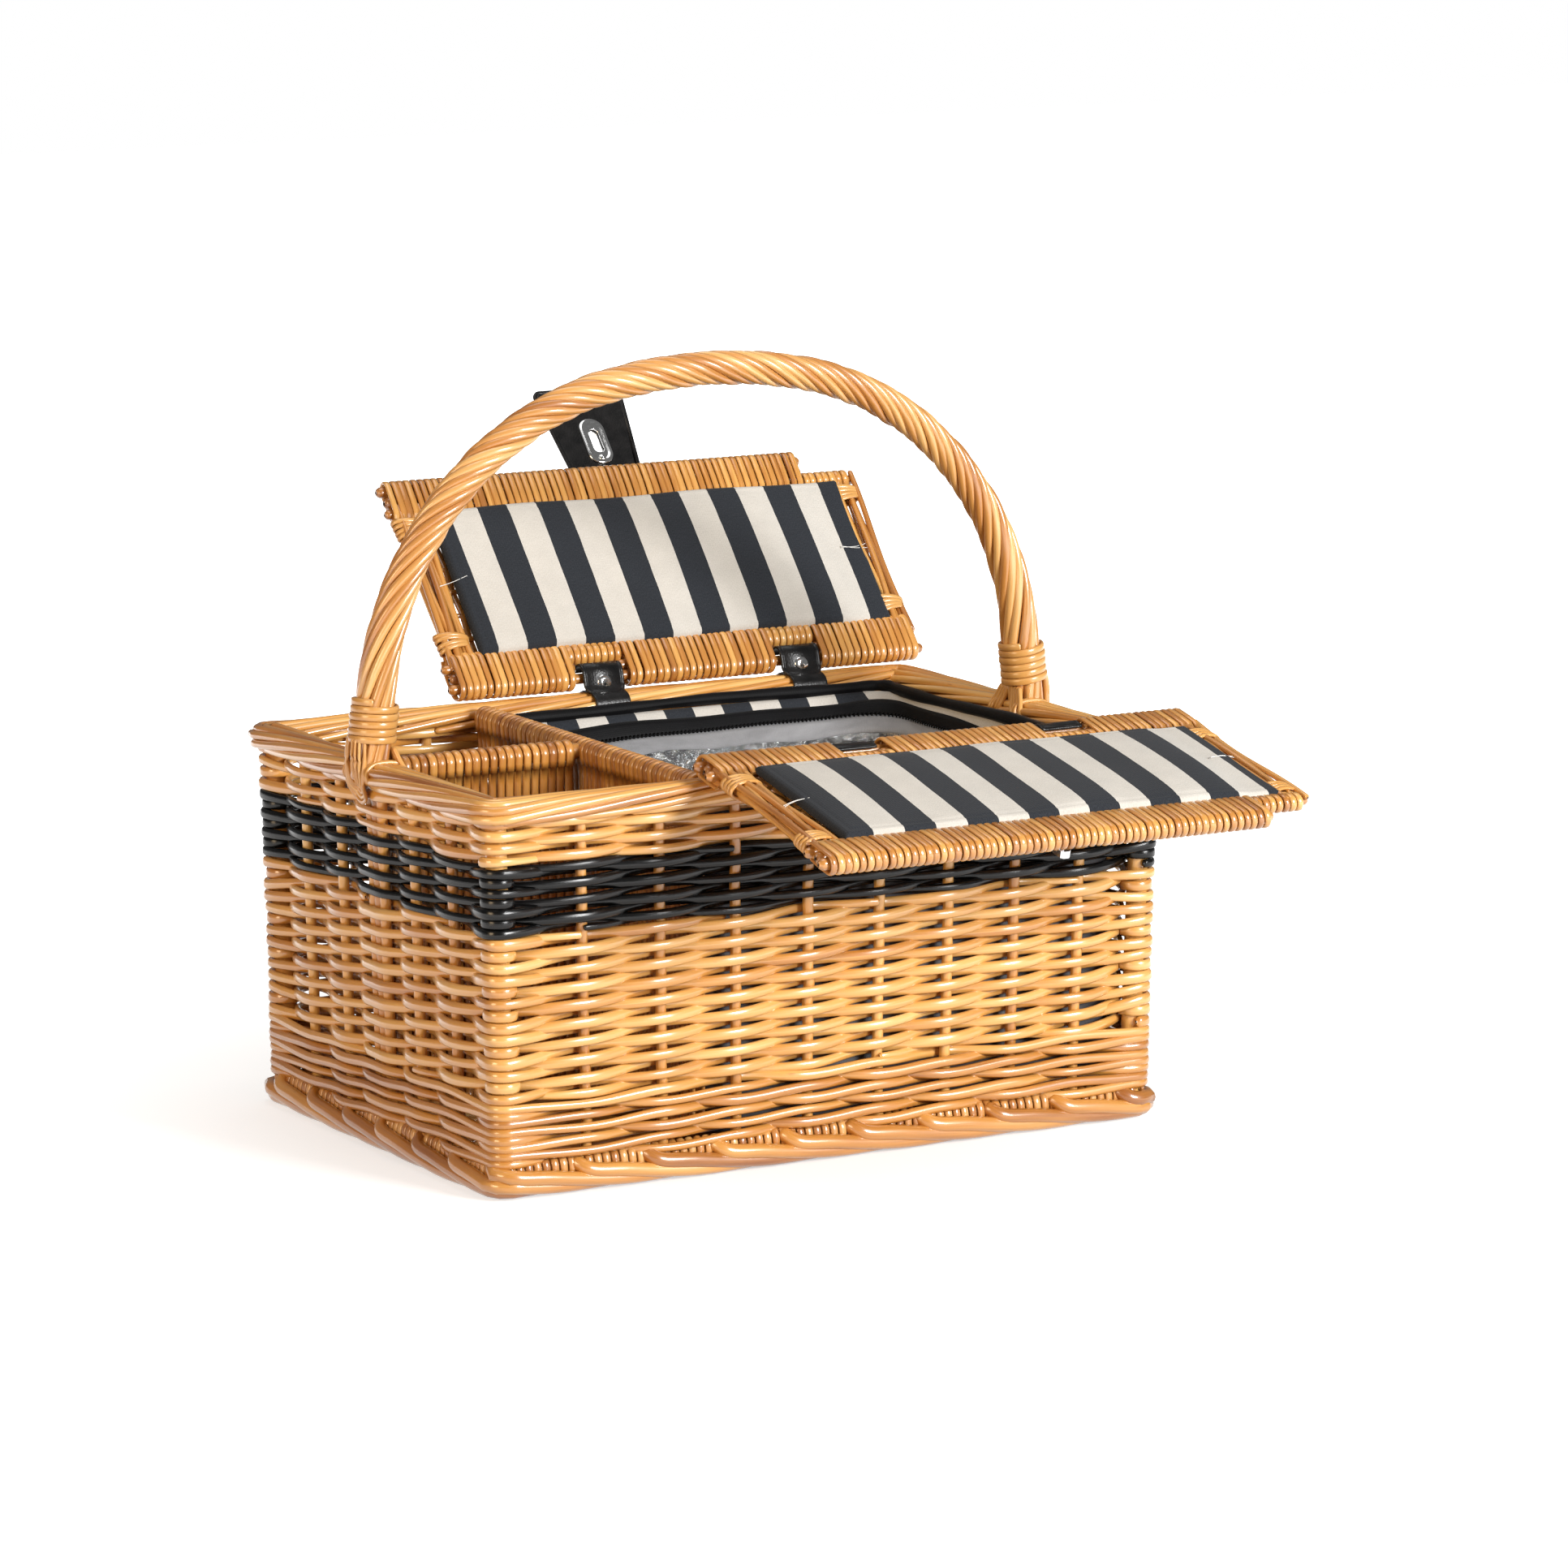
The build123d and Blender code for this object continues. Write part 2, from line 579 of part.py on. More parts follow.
def build_cooler():
    left = DIVIDER_X + max(DIVIDER_THICKNESS / 2, DIVIDER_ROD_RADIUS) + GAP
    right = min(LEFT_WALL.inside(z) for z in (FLOOR_Z, COOLER_TOP))
    half_y = min(FRONT_WALL.inside(z) for z in (FLOOR_Z, COOLER_TOP))
    save("cooler_shell", *open_box((left, right), (-half_y, half_y), (FLOOR_Z, COOLER_TOP), COOLER_WALL))

    inset = COOLER_WALL + GAP
    foil_x = (left + inset, right - inset)
    foil_y = (inset - half_y, half_y - inset)
    foil_z = (FLOOR_Z + inset, COOLER_TOP - GAP)
    save("cooler_foil", *open_box(foil_x, foil_y, foil_z, FOIL_THICKNESS))

    length = right - left
    middle = (left + right) / 2
    outer = Rectangle(length, 2 * half_y)
    panel_edge = FLANGE_WIDTH + PANEL_RUN
    zip_edge = panel_edge - ZIP_LAP + ZIP_RUN
    opening = zip_edge - ZIP_LAP + COLLAR_WIDTH

    def corners(inset):
        """Corners of an outline inside the cooler's edge that turns in equal flats about the same centres."""
        corner = OPENING_CORNER - (opening - inset)
        reach = corner / math.cos(math.pi / 4 / CORNER_STEPS)
        centre_x = length / 2 - inset - corner
        centre_y = half_y - inset - corner
        points = []
        for quarter, (side_x, side_y) in enumerate(((1, 1), (-1, 1), (-1, -1), (1, -1))):
            for step in range(CORNER_STEPS):
                angle = math.pi / 2 * (quarter + (step + 0.5) / CORNER_STEPS)
                x = side_x * centre_x + reach * math.cos(angle)
                points.append((x, side_y * centre_y + reach * math.sin(angle)))
        return points

    def outline(inset):
        return make_face(Polyline(*corners(inset), close=True))

    def funnel(high, low, drop, thickness):
        """Sloping ring from an outer inset at z = 0 down to an inner one, its thickness measured upright."""
        lip = high + thickness * (low - high) / drop
        section = ((high, 0), (low, -drop), (low, thickness - drop), (lip, 0))
        rings = [[(x, y, z) for x, y in corners(inset)] for inset, z in section]
        flats = []
        for here, there in zip(rings, rings[1:] + rings[:1]):
            for k in range(len(here)):
                flats.append(make_face(Polyline(here[k - 1], here[k], there[k], there[k - 1], close=True)))
        return Solid(Shell(flats))

    panel_z = COOLER_TOP + GAP
    slope = PANEL_RUN / PANEL_DROP
    mouth = outline(FLANGE_WIDTH + TOP_PANEL_THICKNESS * slope)
    flange = extrude(outer - mouth, amount=TOP_PANEL_THICKNESS)
    cloth = Pos(0, 0, TOP_PANEL_THICKNESS) * funnel(FLANGE_WIDTH, panel_edge, PANEL_DROP, TOP_PANEL_THICKNESS)
    save("cooler_top_panel", Pos(middle, 0, panel_z) * (flange + cloth))

    zip_z = panel_z + TOP_PANEL_THICKNESS - PANEL_DROP - GAP
    tape = funnel(panel_edge - ZIP_LAP, zip_edge, ZIP_DROP, ZIP_THICKNESS)
    save("cooler_zip", Pos(middle, 0, zip_z) * tape)

    collar = extrude(outline(zip_edge - ZIP_LAP) - outline(opening), amount=-COLLAR_THICKNESS)
    save("cooler_collar", Pos(middle, 0, zip_z - ZIP_DROP - GAP) * collar)

    piping_inside = PIPING_INSET + PIPING_SIZE
    piping_edge = Rectangle(length - 2 * PIPING_INSET, 2 * (half_y - PIPING_INSET))
    piping_hole = Rectangle(length - 2 * piping_inside, 2 * (half_y - piping_inside))
    piping = extrude(piping_edge - piping_hole, amount=PIPING_SIZE)
    save("cooler_piping", Pos(middle, 0, panel_z + TOP_PANEL_THICKNESS + GAP) * piping)


def lid_profile():
    """Section of a lid's weave: a mat between two bands that are wrapped round the edge rods."""
    top = [
        (0, BAND_RADIUS),
        (HINGE_BAND_END - BAND_SLOPE, BAND_RADIUS),
        (HINGE_BAND_END + BAND_SLOPE, MAT_HALF_THICKNESS),
        (FREE_BAND_START - BAND_SLOPE, MAT_HALF_THICKNESS),
        (FREE_BAND_START + BAND_SLOPE, BAND_RADIUS),
        (FREE_ROD_U, BAND_RADIUS),
    ]
    bottom = [(u, -w) for u, w in reversed(top)]
    free_edge = ThreePointArc(top[-1], (LID_REACH, 0), bottom[0])
    hinge_edge = ThreePointArc(bottom[-1], (-BAND_RADIUS, 0), top[0])
    return make_face([*Polyline(*top).edges(), free_edge, *Polyline(*bottom).edges(), hinge_edge])


def frame_rods():
    """The three stiffening rods beside the hinge rod: (u, right end)."""
    return [
        (INNER_ROD_U, LID_RIGHT),
        (FREE_ROD_U - FREE_ROD_SPACING, LID_RIGHT),
        (FREE_ROD_U, NOTCH_X),
    ]


def strap_centres():
    """Straps sit in the middle of a bay, between two stakes of a long wall."""
    stations = [group[0] for group in FRONT_WALL.stations(STAKE_TOP)]
    bays = (FIRST_STRAP_BAY, SECOND_STRAP_BAY)
    return [(stations[bay - 1] + stations[bay]) / 2 for bay in bays]


def lid_weave():
    """A lid's woven mat and bands, closed, with its notches and rod bores."""
    length = LID_RIGHT - LID_LEFT
    rods = [(0, HINGE_ROD_RADIUS), *[(u, FRAME_ROD_RADIUS) for u, _ in frame_rods()]]
    bores = [
        Pos(u, 0) * RegularPolygon(radius + ROD_BORE_CLEARANCE, ROD_SIDES, major_radius=False)
        for u, radius in rods
    ]
    section = lid_profile()
    for bore in bores:
        section -= bore
    weave = extrude(Plane.YZ.offset(LID_LEFT) * section, amount=length)

    thick = (-2 * BAND_RADIUS, 2 * BAND_RADIUS)
    between = (HINGE_BAND_END + BAND_SLOPE, FREE_BAND_START - BAND_SLOPE)
    weave -= block((LID_LEFT - GAP, LID_LEFT + SIDE_CUT), between, thick)
    weave -= block((LID_RIGHT - SIDE_CUT, LID_RIGHT + GAP), between, thick)
    weave -= block((NOTCH_X, LID_RIGHT + GAP), (NOTCH_U, LID_REACH + GAP), thick)
    half_notch = STRAP_WIDTH / 2 + STRAP_NOTCH_SIDE
    for x in strap_centres():
        weave -= block((x - half_notch, x + half_notch), (-2 * BAND_RADIUS, STRAP_NOTCH_DEPTH), thick)
    return weave


def side_rods():
    """Bundles of rods along the two ends of a lid, between the bands."""
    start = HINGE_BAND_END + BAND_SLOPE + GAP
    end = FREE_BAND_START - BAND_SLOPE - GAP
    pitch = 2 * SIDE_ROD_RADIUS + SIDE_ROD_GAP
    rods = []
    for edge, inward in ((LID_LEFT, 1), (LID_RIGHT, -1)):
        for i in range(SIDE_ROD_COUNT):
            x = edge + inward * (pitch * (i + 0.5))
            rods.append(rod((x, start, 0), (x, end, 0), SIDE_ROD_RADIUS))
    return rods


def corner_ties():
    """Cane ties round the side bundles, one near each corner."""
    start = HINGE_BAND_END + BAND_SLOPE + TIE_SETBACK
    end = FREE_BAND_START - BAND_SLOPE - TIE_SETBACK - TIE_WIDTH
    hole = Rectangle(SIDE_BUNDLE, 2 * (SIDE_ROD_RADIUS + GAP))
    sleeve = Rectangle(SIDE_BUNDLE + 2 * TIE_THICKNESS, 2 * (SIDE_ROD_RADIUS + GAP + TIE_THICKNESS))
    ring = extrude(Plane.XZ * (sleeve - hole), amount=-TIE_WIDTH)
    middles = (LID_LEFT + SIDE_BUNDLE / 2, LID_RIGHT - SIDE_BUNDLE / 2)
    return [Pos(x, u, 0) * ring for x in middles for u in (start, end)]


def lining():
    """Padded cloth on a lid's inner face, crowned in the middle and thin at its edges."""
    start = HINGE_BAND_END + BAND_SLOPE + GAP
    end = FREE_BAND_START - BAND_SLOPE - GAP
    left = LID_LEFT + LINING_LEFT_MARGIN
    right = LID_RIGHT - SIDE_CUT
    face = -MAT_HALF_THICKNESS - GAP
    edge = face - LINING_EDGE
    stations = [
        (left, LINING_CROWN / 4),
        (left + LINING_TAPER, LINING_CROWN),
        (right - LINING_TAPER, LINING_CROWN),
        (right, LINING_CROWN / 4),
    ]
    sections = []
    for x, crown in stations:
        cloth = ThreePointArc((end, edge), ((start + end) / 2, edge - crown), (start, edge))
        back = Polyline((start, edge), (start, face), (end, face), (end, edge))
        sections.append(Plane.YZ.offset(x) * make_face([cloth, *back.edges()]))
    return loft(sections, ruled=True)


def hang_front(piece):
    """From the closed lid's own frame to the front lid's rest pose."""
    return Pos(0, -HINGE_HALF_WIDTH, HINGE_Z) * Rot(FRONT_OPEN_ANGLE, 0, 0) * piece


def hang_back(piece):
    """The same for the back lid, which mirrors the front one."""
    return Pos(0, HINGE_HALF_WIDTH, HINGE_Z) * Rot(-BACK_OPEN_ANGLE, 0, 0) * mirror(piece, about=Plane.XZ)


def build_lids():
    weave = lid_weave()
    hinge_rod = pin((LID_LEFT, 0, 0), (LID_RIGHT, 0, 0), HINGE_ROD_RADIUS)
    frame = [rod((LID_LEFT, u, 0), (right, u, 0), FRAME_ROD_RADIUS) for u, right in frame_rods()]
    pieces = {
        "hinge_rod": [hinge_rod],
        "frame_rods": frame,
        "side_rods": side_rods(),
        "corner_ties": corner_ties(),
        "lining": [lining()],
    }
    for lid, hang in (("front_lid_", hang_front), ("back_lid_", hang_back)):
        for name, solids in pieces.items():
            save(lid + name, *[hang(solid) for solid in solids])
    save("front_lid_weave", hang_front(weave - lock_recess()))
    save("back_lid_weave", hang_back(weave))


def lock_floor():
    return BAND_RADIUS - LOCK_BASE_THICKNESS - GAP


def lock_recess():
    """Flat let into the front lid's free band for the turn lock's base."""
    half_x = LOCK_BASE_LENGTH / 2 + GAP
    half_u = LOCK_BASE_DEPTH / 2 + GAP
    span_u = (LOCK_U - half_u, LOCK_U + half_u)
    return block((LID_CENTRE - half_x, LID_CENTRE + half_x), span_u, (lock_floor(), 2 * BAND_RADIUS))


def build_lock():
    low = lock_floor() + GAP / 2
    centre = Pos(LID_CENTRE, LOCK_U, low)
    plate = eased(LOCK_BASE_LENGTH, LOCK_BASE_DEPTH, LOCK_BASE_CORNER)
    bore = Circle(BUTTON_POST_RADIUS + BUTTON_BORE_CLEARANCE)
    save("lock_base", hang_front(centre * extrude(plate - bore, amount=LOCK_BASE_THICKNESS)))

    half_x = LOCK_BASE_LENGTH / 2
    pad_end = FREE_BAND_START - BAND_SLOPE - GAP
    pad = block(
        (LID_CENTRE - half_x, LID_CENTRE + half_x),
        (pad_end - LOCK_PAD_DEPTH, pad_end),
        (MAT_HALF_THICKNESS + GAP / 2, low - GAP / 2),
    )
    save("lock_pad", hang_front(pad))

    wing_low = HASP_W + HASP_THICKNESS + PLATE_THICKNESS + BUTTON_LIFT
    post = Pos(LID_CENTRE, LOCK_U, low) * extrude(Circle(BUTTON_POST_RADIUS), amount=wing_low - low)
    wing_shape = eased(BUTTON_WIDTH, BUTTON_LENGTH, BUTTON_CORNER)
    wing = Pos(LID_CENTRE, LOCK_U, wing_low) * extrude(wing_shape, amount=BUTTON_HEIGHT)
    save("turn_button", hang_front(post + wing))


def build_hasp():
    fold = Pos(LID_CENTRE, FOLD_U, HASP_W)
    half_root = HASP_ROOT_WIDTH / 2
    half_tip = HASP_TIP_WIDTH / 2
    bead = HASP_THICKNESS / 2
    root = [(-half_root, 0), (half_root, 0)]
    tip = [(half_tip, HASP_LENGTH), (-half_tip, HASP_LENGTH)]
    leather = make_face(Polyline(*root, *tip, close=True))
    leather = fillet(leather.vertices().group_by(Axis.Y)[-1], HASP_TIP_ROUND)
    slot = Pos(0, SLOT_REACH) * eased(SLOT_WIDTH, SLOT_LENGTH, SLOT_CORNER)
    tab = extrude(leather - slot, amount=HASP_THICKNESS)
    tab += pin((-half_root, 0, bead), (half_root, 0, bead), bead)
    save("hasp_tab", hang_back(fold * tab))

    outline = Pos(0, SLOT_REACH) * eased(PLATE_WIDTH, PLATE_LENGTH, PLATE_CORNER)
    plate = extrude(outline - slot, amount=PLATE_THICKNESS)
    lifts = (-FACE_GAP - PLATE_THICKNESS, HASP_THICKNESS + FACE_GAP)
    save("hasp_plates", *[hang_back(fold * Pos(0, 0, lift) * plate) for lift in lifts])

    anchor_end = -bead - GAP
    anchor_u = (anchor_end - HASP_ANCHOR_LENGTH, anchor_end)
    anchor = block((-half_root, half_root), anchor_u, (-HASP_LIFT, HASP_THICKNESS))
    save("hasp_anchor", hang_back(fold * anchor))


def hinge_strap(sign):
    """Leather loop round a lid's hinge rod and the rim's outer rod, with a riveted tab."""
    hinge = (HINGE_HALF_WIDTH, HINGE_Z, HINGE_ROD_RADIUS)
    rim = (RIM_WIDTH_LINE + RIM_SPREAD_LONG, RIM_Z, RIM_ROD_RADIUS)
    loop = belt([hinge, rim], STRAP_THICKNESS, STRAP_WIDTH)

    skin = GAP + STRAP_THICKNESS
    run = Vector(0, rim[0] - hinge[0], rim[1] - hinge[1])
    lean = math.asin((rim[2] - hinge[2]) / run.length)
    inward = run.normalized().rotate(Axis.X, -90 + math.degrees(lean))
    touch = Vector(0, hinge[0], hinge[1]) + inward * (hinge[2] + skin)
    seat = Plane(origin=touch, x_dir=(1, 0, 0), z_dir=inward)
    end_round = STRAP_WIDTH / 3
    plate = Rectangle(STRAP_WIDTH, TAB_LENGTH)
    away = plate.vertices().sort_by(lambda v: (seat * Pos(v.X, v.Y)).position.Z)[:2]
    tab = extrude(fillet(away, end_round), amount=STRAP_THICKNESS)
    head = extrude(RegularPolygon(RIVET_RADIUS, ROD_SIDES), amount=RIVET_HEIGHT, taper=RIVET_TAPER)
    rivet = Pos(0, 0, STRAP_THICKNESS) * head
    pieces = [loop + seat * tab, seat * Pos(0, 0, FACE_GAP) * rivet]
    return pieces if sign > 0 else [mirror(piece, about=Plane.XZ) for piece in pieces]


def build_straps():
    rivets = []
    for name, sign in (("front_hinge_straps", -1), ("back_hinge_straps", 1)):
        strap, rivet = hinge_strap(sign)
        save(name, *[Pos(x, 0, 0) * strap for x in strap_centres()])
        rivets += [Pos(x, 0, 0) * rivet for x in strap_centres()]
    save("hinge_strap_rivets", *rivets)


os.makedirs("parts", exist_ok=True)
build_foot_and_base()
build_corner_posts()
build_walls()
build_rim()
build_handle()
build_dividers()
build_cooler()
build_lids()
build_lock()
build_hasp()
build_straps()
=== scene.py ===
import math

import bpy
import numpy as np
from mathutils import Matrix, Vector


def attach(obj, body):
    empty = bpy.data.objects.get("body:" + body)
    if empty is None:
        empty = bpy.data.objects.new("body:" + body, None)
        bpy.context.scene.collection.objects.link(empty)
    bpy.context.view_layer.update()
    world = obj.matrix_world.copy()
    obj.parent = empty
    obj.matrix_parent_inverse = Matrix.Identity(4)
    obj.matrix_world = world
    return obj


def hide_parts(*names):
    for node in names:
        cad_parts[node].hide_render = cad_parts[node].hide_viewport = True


# Looks for a woven willow picnic basket. Sizes are in millimetres up to the last step of each mesh.

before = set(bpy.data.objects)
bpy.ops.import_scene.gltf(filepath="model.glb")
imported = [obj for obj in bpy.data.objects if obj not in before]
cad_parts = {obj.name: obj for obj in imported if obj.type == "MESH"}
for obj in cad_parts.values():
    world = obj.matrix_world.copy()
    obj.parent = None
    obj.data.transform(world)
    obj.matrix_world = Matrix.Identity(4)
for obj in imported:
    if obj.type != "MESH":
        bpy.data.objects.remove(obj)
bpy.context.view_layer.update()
rng = np.random.default_rng(11)
MM = 0.001
WHITE = (1, 1, 1, 1)
WEAVE_SCALE = 210.0

# Walls, as in the solid model
RIM_TOP = 216.5
STAKE_RADIUS = 3.1
POST_RADIUS = 6.0
POST_INSET = 3.0
BORDER_SPACING = 43.5
LEG_SPACING = 6.5
# Crossings of stakes and posts round the basket, and the one where the courses start
STOPS = 30
SEAM = 18

# Lids
LID_LEFT = -84.0
LID_RIGHT = 223.0
LID_CENTRE = (LID_LEFT + LID_RIGHT) / 2
HINGE_Y = 144.0
HINGE_Z = 224.0
LID_REACH = 143.0
FRONT_ANGLE = math.radians(192.8)
BACK_ANGLE = math.radians(131.3)
NOTCH_X = 190.2
NOTCH_U = 127.5
STRAP_CENTRES = (8.9, 139.4)
STRAP_NOTCH_HALF = 13.5
TAB_HALF = 13.1
LOCK_U = 129.0
LOCK_HALF_LENGTH = 13.0
LOCK_HALF_DEPTH = 8.0
LOCK_FLOOR = 4.1
FREE_BAND = 117.5
HINGE_BAND = 20.0
STRIPE_WIDTH = 19.0
HEM = 4.2
PAD_BACK = 3.2

# Cooler and dividers
COOLER_X = (-70.7, 191.0)
COOLER_Y = 126.2
DIVIDER_X = -76.0
DIVIDER_ROD_Z = 210.8
BASE_Z = 8.2


def half_length(z):
    return 199.0 + 6.0 * np.asarray(z) / RIM_TOP


def half_width(z):
    return 134.5 + 2.5 * np.asarray(z) / RIM_TOP


def wall_half(normal, z):
    """Distance from the middle of the basket to the stake line of the wall that faces normal."""
    return half_width(z) if abs(normal[1]) > 0.5 else half_length(z)


def corner_centre(direction, normal, span, z):
    """Middle of the corner post at the far end of a wall."""
    return span * direction + (wall_half(normal, z) - POST_INSET) * normal + np.array([0, 0, z])


# Mesh helpers


def unit(v):
    return v / np.maximum(np.linalg.norm(v, axis=-1, keepdims=True), 1e-9)


def full_turn(count):
    return np.linspace(0, 2 * np.pi, count, endpoint=False)


def signed_power(value, power):
    return np.sign(value) * np.abs(value) ** power


def smooth_path(nodes, step=3.0):
    """Catmull-Rom curve through the nodes, sampled about every step."""
    p = np.asarray(nodes, float)
    ends = np.vstack([2 * p[0] - p[1], p, 2 * p[-1] - p[-2]])
    out = []
    for i in range(len(p) - 1):
        a, b, c, d = ends[i : i + 4]
        count = max(2, int(np.linalg.norm(c - b) / step))
        t = np.linspace(0, 1, count, endpoint=False)[:, None]
        out.append(
            0.5 * (2 * b + (c - a) * t + (2 * a - 5 * b + 4 * c - d) * t**2 + (3 * b - a - 3 * c + d) * t**3)
        )
    out.append(p[-1:])
    return np.vstack(out)


def path_run(points):
    """Distance along a path at each of its points."""
    return np.concatenate([[0], np.cumsum(np.linalg.norm(np.diff(points, axis=0), axis=1))])


def along_path(at, run, points):
    """Points at the given distances along a path."""
    return np.stack([np.interp(at, run, column) for column in points.T], 1)


class Bundle:
    """Many strands in one mesh, with a tone per strand and UVs in metres along and round each."""

    def __init__(self):
        self.verts = []
        self.quads = []
        self.uvs = []
        self.tones = []
        self.count = 0

    def tube(
        self, path, depth, height, up=(0, 0, 1), sides=10, square=2.0, tone=None, closed=False, tips=True
    ):
        """A strand along path; depth is its half size across up and height its half size along it."""
        p = np.asarray(path, float)
        n = len(p)
        depth = np.broadcast_to(np.asarray(depth, float), (n,)).copy()
        height = np.broadcast_to(np.asarray(height, float), (n,)).copy()
        if closed:
            tangent = unit(np.roll(p, -1, 0) - np.roll(p, 1, 0))
        else:
            tangent = unit(np.gradient(p, axis=0))
        ups = np.broadcast_to(np.asarray(up, float), (n, 3))
        if tips and not closed:
            p, tangent, ups, depth, height = self.rounded(p, tangent, ups, depth, height)
            n = len(p)
        side = unit(np.cross(tangent, ups))
        rise = np.cross(side, tangent)
        angle = full_turn(sides)
        c = signed_power(np.cos(angle), 2 / square)
        s = signed_power(np.sin(angle), 2 / square)
        ring = (
            p[:, None, :]
            + side[:, None, :] * (depth[:, None] * c)[:, :, None]
            + rise[:, None, :] * (height[:, None] * s)[:, :, None]
        )
        run = path_run(p) * MM + rng.uniform(0, 40)
        girth = 2 * np.pi * float(np.mean(np.maximum(depth, height))) * MM
        rows = n if closed else n - 1
        i = np.repeat(np.arange(rows), sides)
        j = np.tile(np.arange(sides), rows)
        i2 = (i + 1) % n
        j2 = (j + 1) % sides
        quads = np.stack([i * sides + j, i2 * sides + j, i2 * sides + j2, i * sides + j2], 1)
        far = np.where(i2 == 0, run[-1] + 0.003, run[i2])
        u = np.stack([run[i], far, far, run[i]], 1)
        v = np.stack([j, j, j + 1, j + 1], 1) * girth / sides
        self.add(ring.reshape(-1, 3), quads, np.stack([u, v], 2), tone)
        if not closed:
            for ring in (0, n - 1):
                self.close(self.first + ring * sides, sides, turned=ring == 0)

    def rounded(self, p, tangent, ups, depth, height):
        """Adds domed ends to an open strand."""
        grow = np.array([0.35, 0.7, 0.93])
        size = np.sqrt(1 - grow**2)
        start = p[0] - tangent[0] * (grow * min(depth[0], height[0]))[:, None]
        end = p[-1] + tangent[-1] * (grow * min(depth[-1], height[-1]))[:, None]
        three = np.ones((3, 1))
        p = np.vstack([start[::-1], p, end])
        tangent = np.vstack([tangent[0] * three, tangent, tangent[-1] * three])
        ups = np.vstack([ups[0] * three, ups, ups[-1] * three])
        depth = np.concatenate([size[::-1] * depth[0], depth, size * depth[-1]])
        height = np.concatenate([size[::-1] * height[0], height, size * height[-1]])
        return p, tangent, ups, depth, height

    def add(self, verts, quads, uvs, tone):
        tone = rng.uniform(0, 1) if tone is None else tone
        self.first = self.count
        self.verts.append(verts)
        self.quads.append(quads + self.count)
        self.uvs.append(uvs)
        self.tones.append(np.full(len(verts), tone))
        self.count += len(verts)

    def close(self, base, count, turned):
        """Fills a ring of count points, the first of them base, with quads."""
        for k in range(count // 2 - 1):
            quad = [base + k, base + k + 1, base + count - 2 - k, base + count - 1 - k]
            self.quads.append(np.array([quad[::-1] if turned else quad]))
            self.uvs.append(np.zeros((1, 4, 2)))

    def surface(self, grid, uv_grid=None, tone=0.5, flip=False):
        """A sheet from a grid of points, with UVs in metres along its rows and columns, or from uv_grid."""
        rows, cols = grid.shape[:2]
        i = np.repeat(np.arange(rows - 1), cols - 1)
        j = np.tile(np.arange(cols - 1), rows - 1)
        corners = [(i, j), (i + 1, j), (i + 1, j + 1), (i, j + 1)]
        if flip:
            corners.reverse()
        quads = np.stack([a * cols + b for a, b in corners], 1)
        if uv_grid is None:
            along = path_run(grid[:, cols // 2])
            across = path_run(grid[rows // 2])
            uv_grid = np.stack(np.meshgrid(along, across, indexing="ij"), 2)
        uvs = np.stack([uv_grid[a, b] for a, b in corners], 1) * MM
        self.add(grid.reshape(-1, 3), quads, uvs, tone)

    def build(self, name, material, body, replaces=()):
        verts = np.vstack(self.verts) * MM
        quads = np.vstack(self.quads)
        uvs = np.vstack(self.uvs)
        mesh = bpy.data.meshes.new(name)
        mesh.from_pydata(verts.tolist(), [], quads.tolist())
        layer = mesh.uv_layers.new(name="UVMap")
        layer.data.foreach_set("uv", uvs.reshape(-1).astype(np.float32))
        tone = mesh.attributes.new("tone", "FLOAT", "POINT")
        tone.data.foreach_set("value", np.concatenate(self.tones).astype(np.float32))
        mesh.polygons.foreach_set("use_smooth", [True] * len(mesh.polygons))
        mesh.materials.append(material)
        mesh.update()
        obj = bpy.data.objects.new(name, mesh)
        bpy.context.scene.collection.objects.link(obj)
        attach(obj, body)
        if replaces:
            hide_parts(*replaces)
        return obj


# Materials


def new_material(name):
    material = bpy.data.materials.new(name)
    material.use_nodes = True
    tree = material.node_tree
    shader = tree.nodes["Principled BSDF"]
    return material, tree, shader


def fill(tree, made, **values):
    """Sets inputs of a node to values, or links them to outputs of other nodes."""
    for key, value in values.items():
        socket = made.inputs[key.replace("_", " ")]
        if isinstance(value, bpy.types.NodeSocket):
            tree.links.new(value, socket)
        else:
            socket.default_value = value


def node(tree, kind, **values):
    """A new node from its settings and its inputs."""
    made = tree.nodes.new(kind)
    for key, value in values.items():
        if hasattr(made, key):
            setattr(made, key, value)
        else:
            fill(tree, made, **{key: value})
    return made


def object_texture(tree, kind, **values):
    """Noise, or distance in a Voronoi pattern, in the space of the object."""
    place = node(tree, "ShaderNodeTexCoord").outputs["Object"]
    return node(tree, f"ShaderNodeTex{kind}", Vector=place, **values).outputs[0]


def uv_noise(tree, scale, detail=3.0, roughness=0.6):
    """Noise stretched along the UVs: scale is (along, across), in features a metre."""
    uv = node(tree, "ShaderNodeUVMap").outputs["UV"]
    place = node(tree, "ShaderNodeMapping", Vector=uv, Scale=(*scale, 1)).outputs["Vector"]
    noise = node(tree, "ShaderNodeTexNoise", Vector=place, Scale=1.0, Detail=detail, Roughness=roughness)
    return noise.outputs["Fac"]


def math_node(tree, operation, *values, clamp=False):
    made = node(tree, "ShaderNodeMath", operation=operation, use_clamp=clamp)
    for socket, value in zip(made.inputs, values):
        if isinstance(value, (int, float)):
            socket.default_value = value
        else:
            tree.links.new(value, socket)
    return made.outputs[0]


def scaled(tree, value, factor, offset, clamp=False):
    """value * factor + offset."""
    return math_node(tree, "MULTIPLY_ADD", value, factor, offset, clamp=clamp)


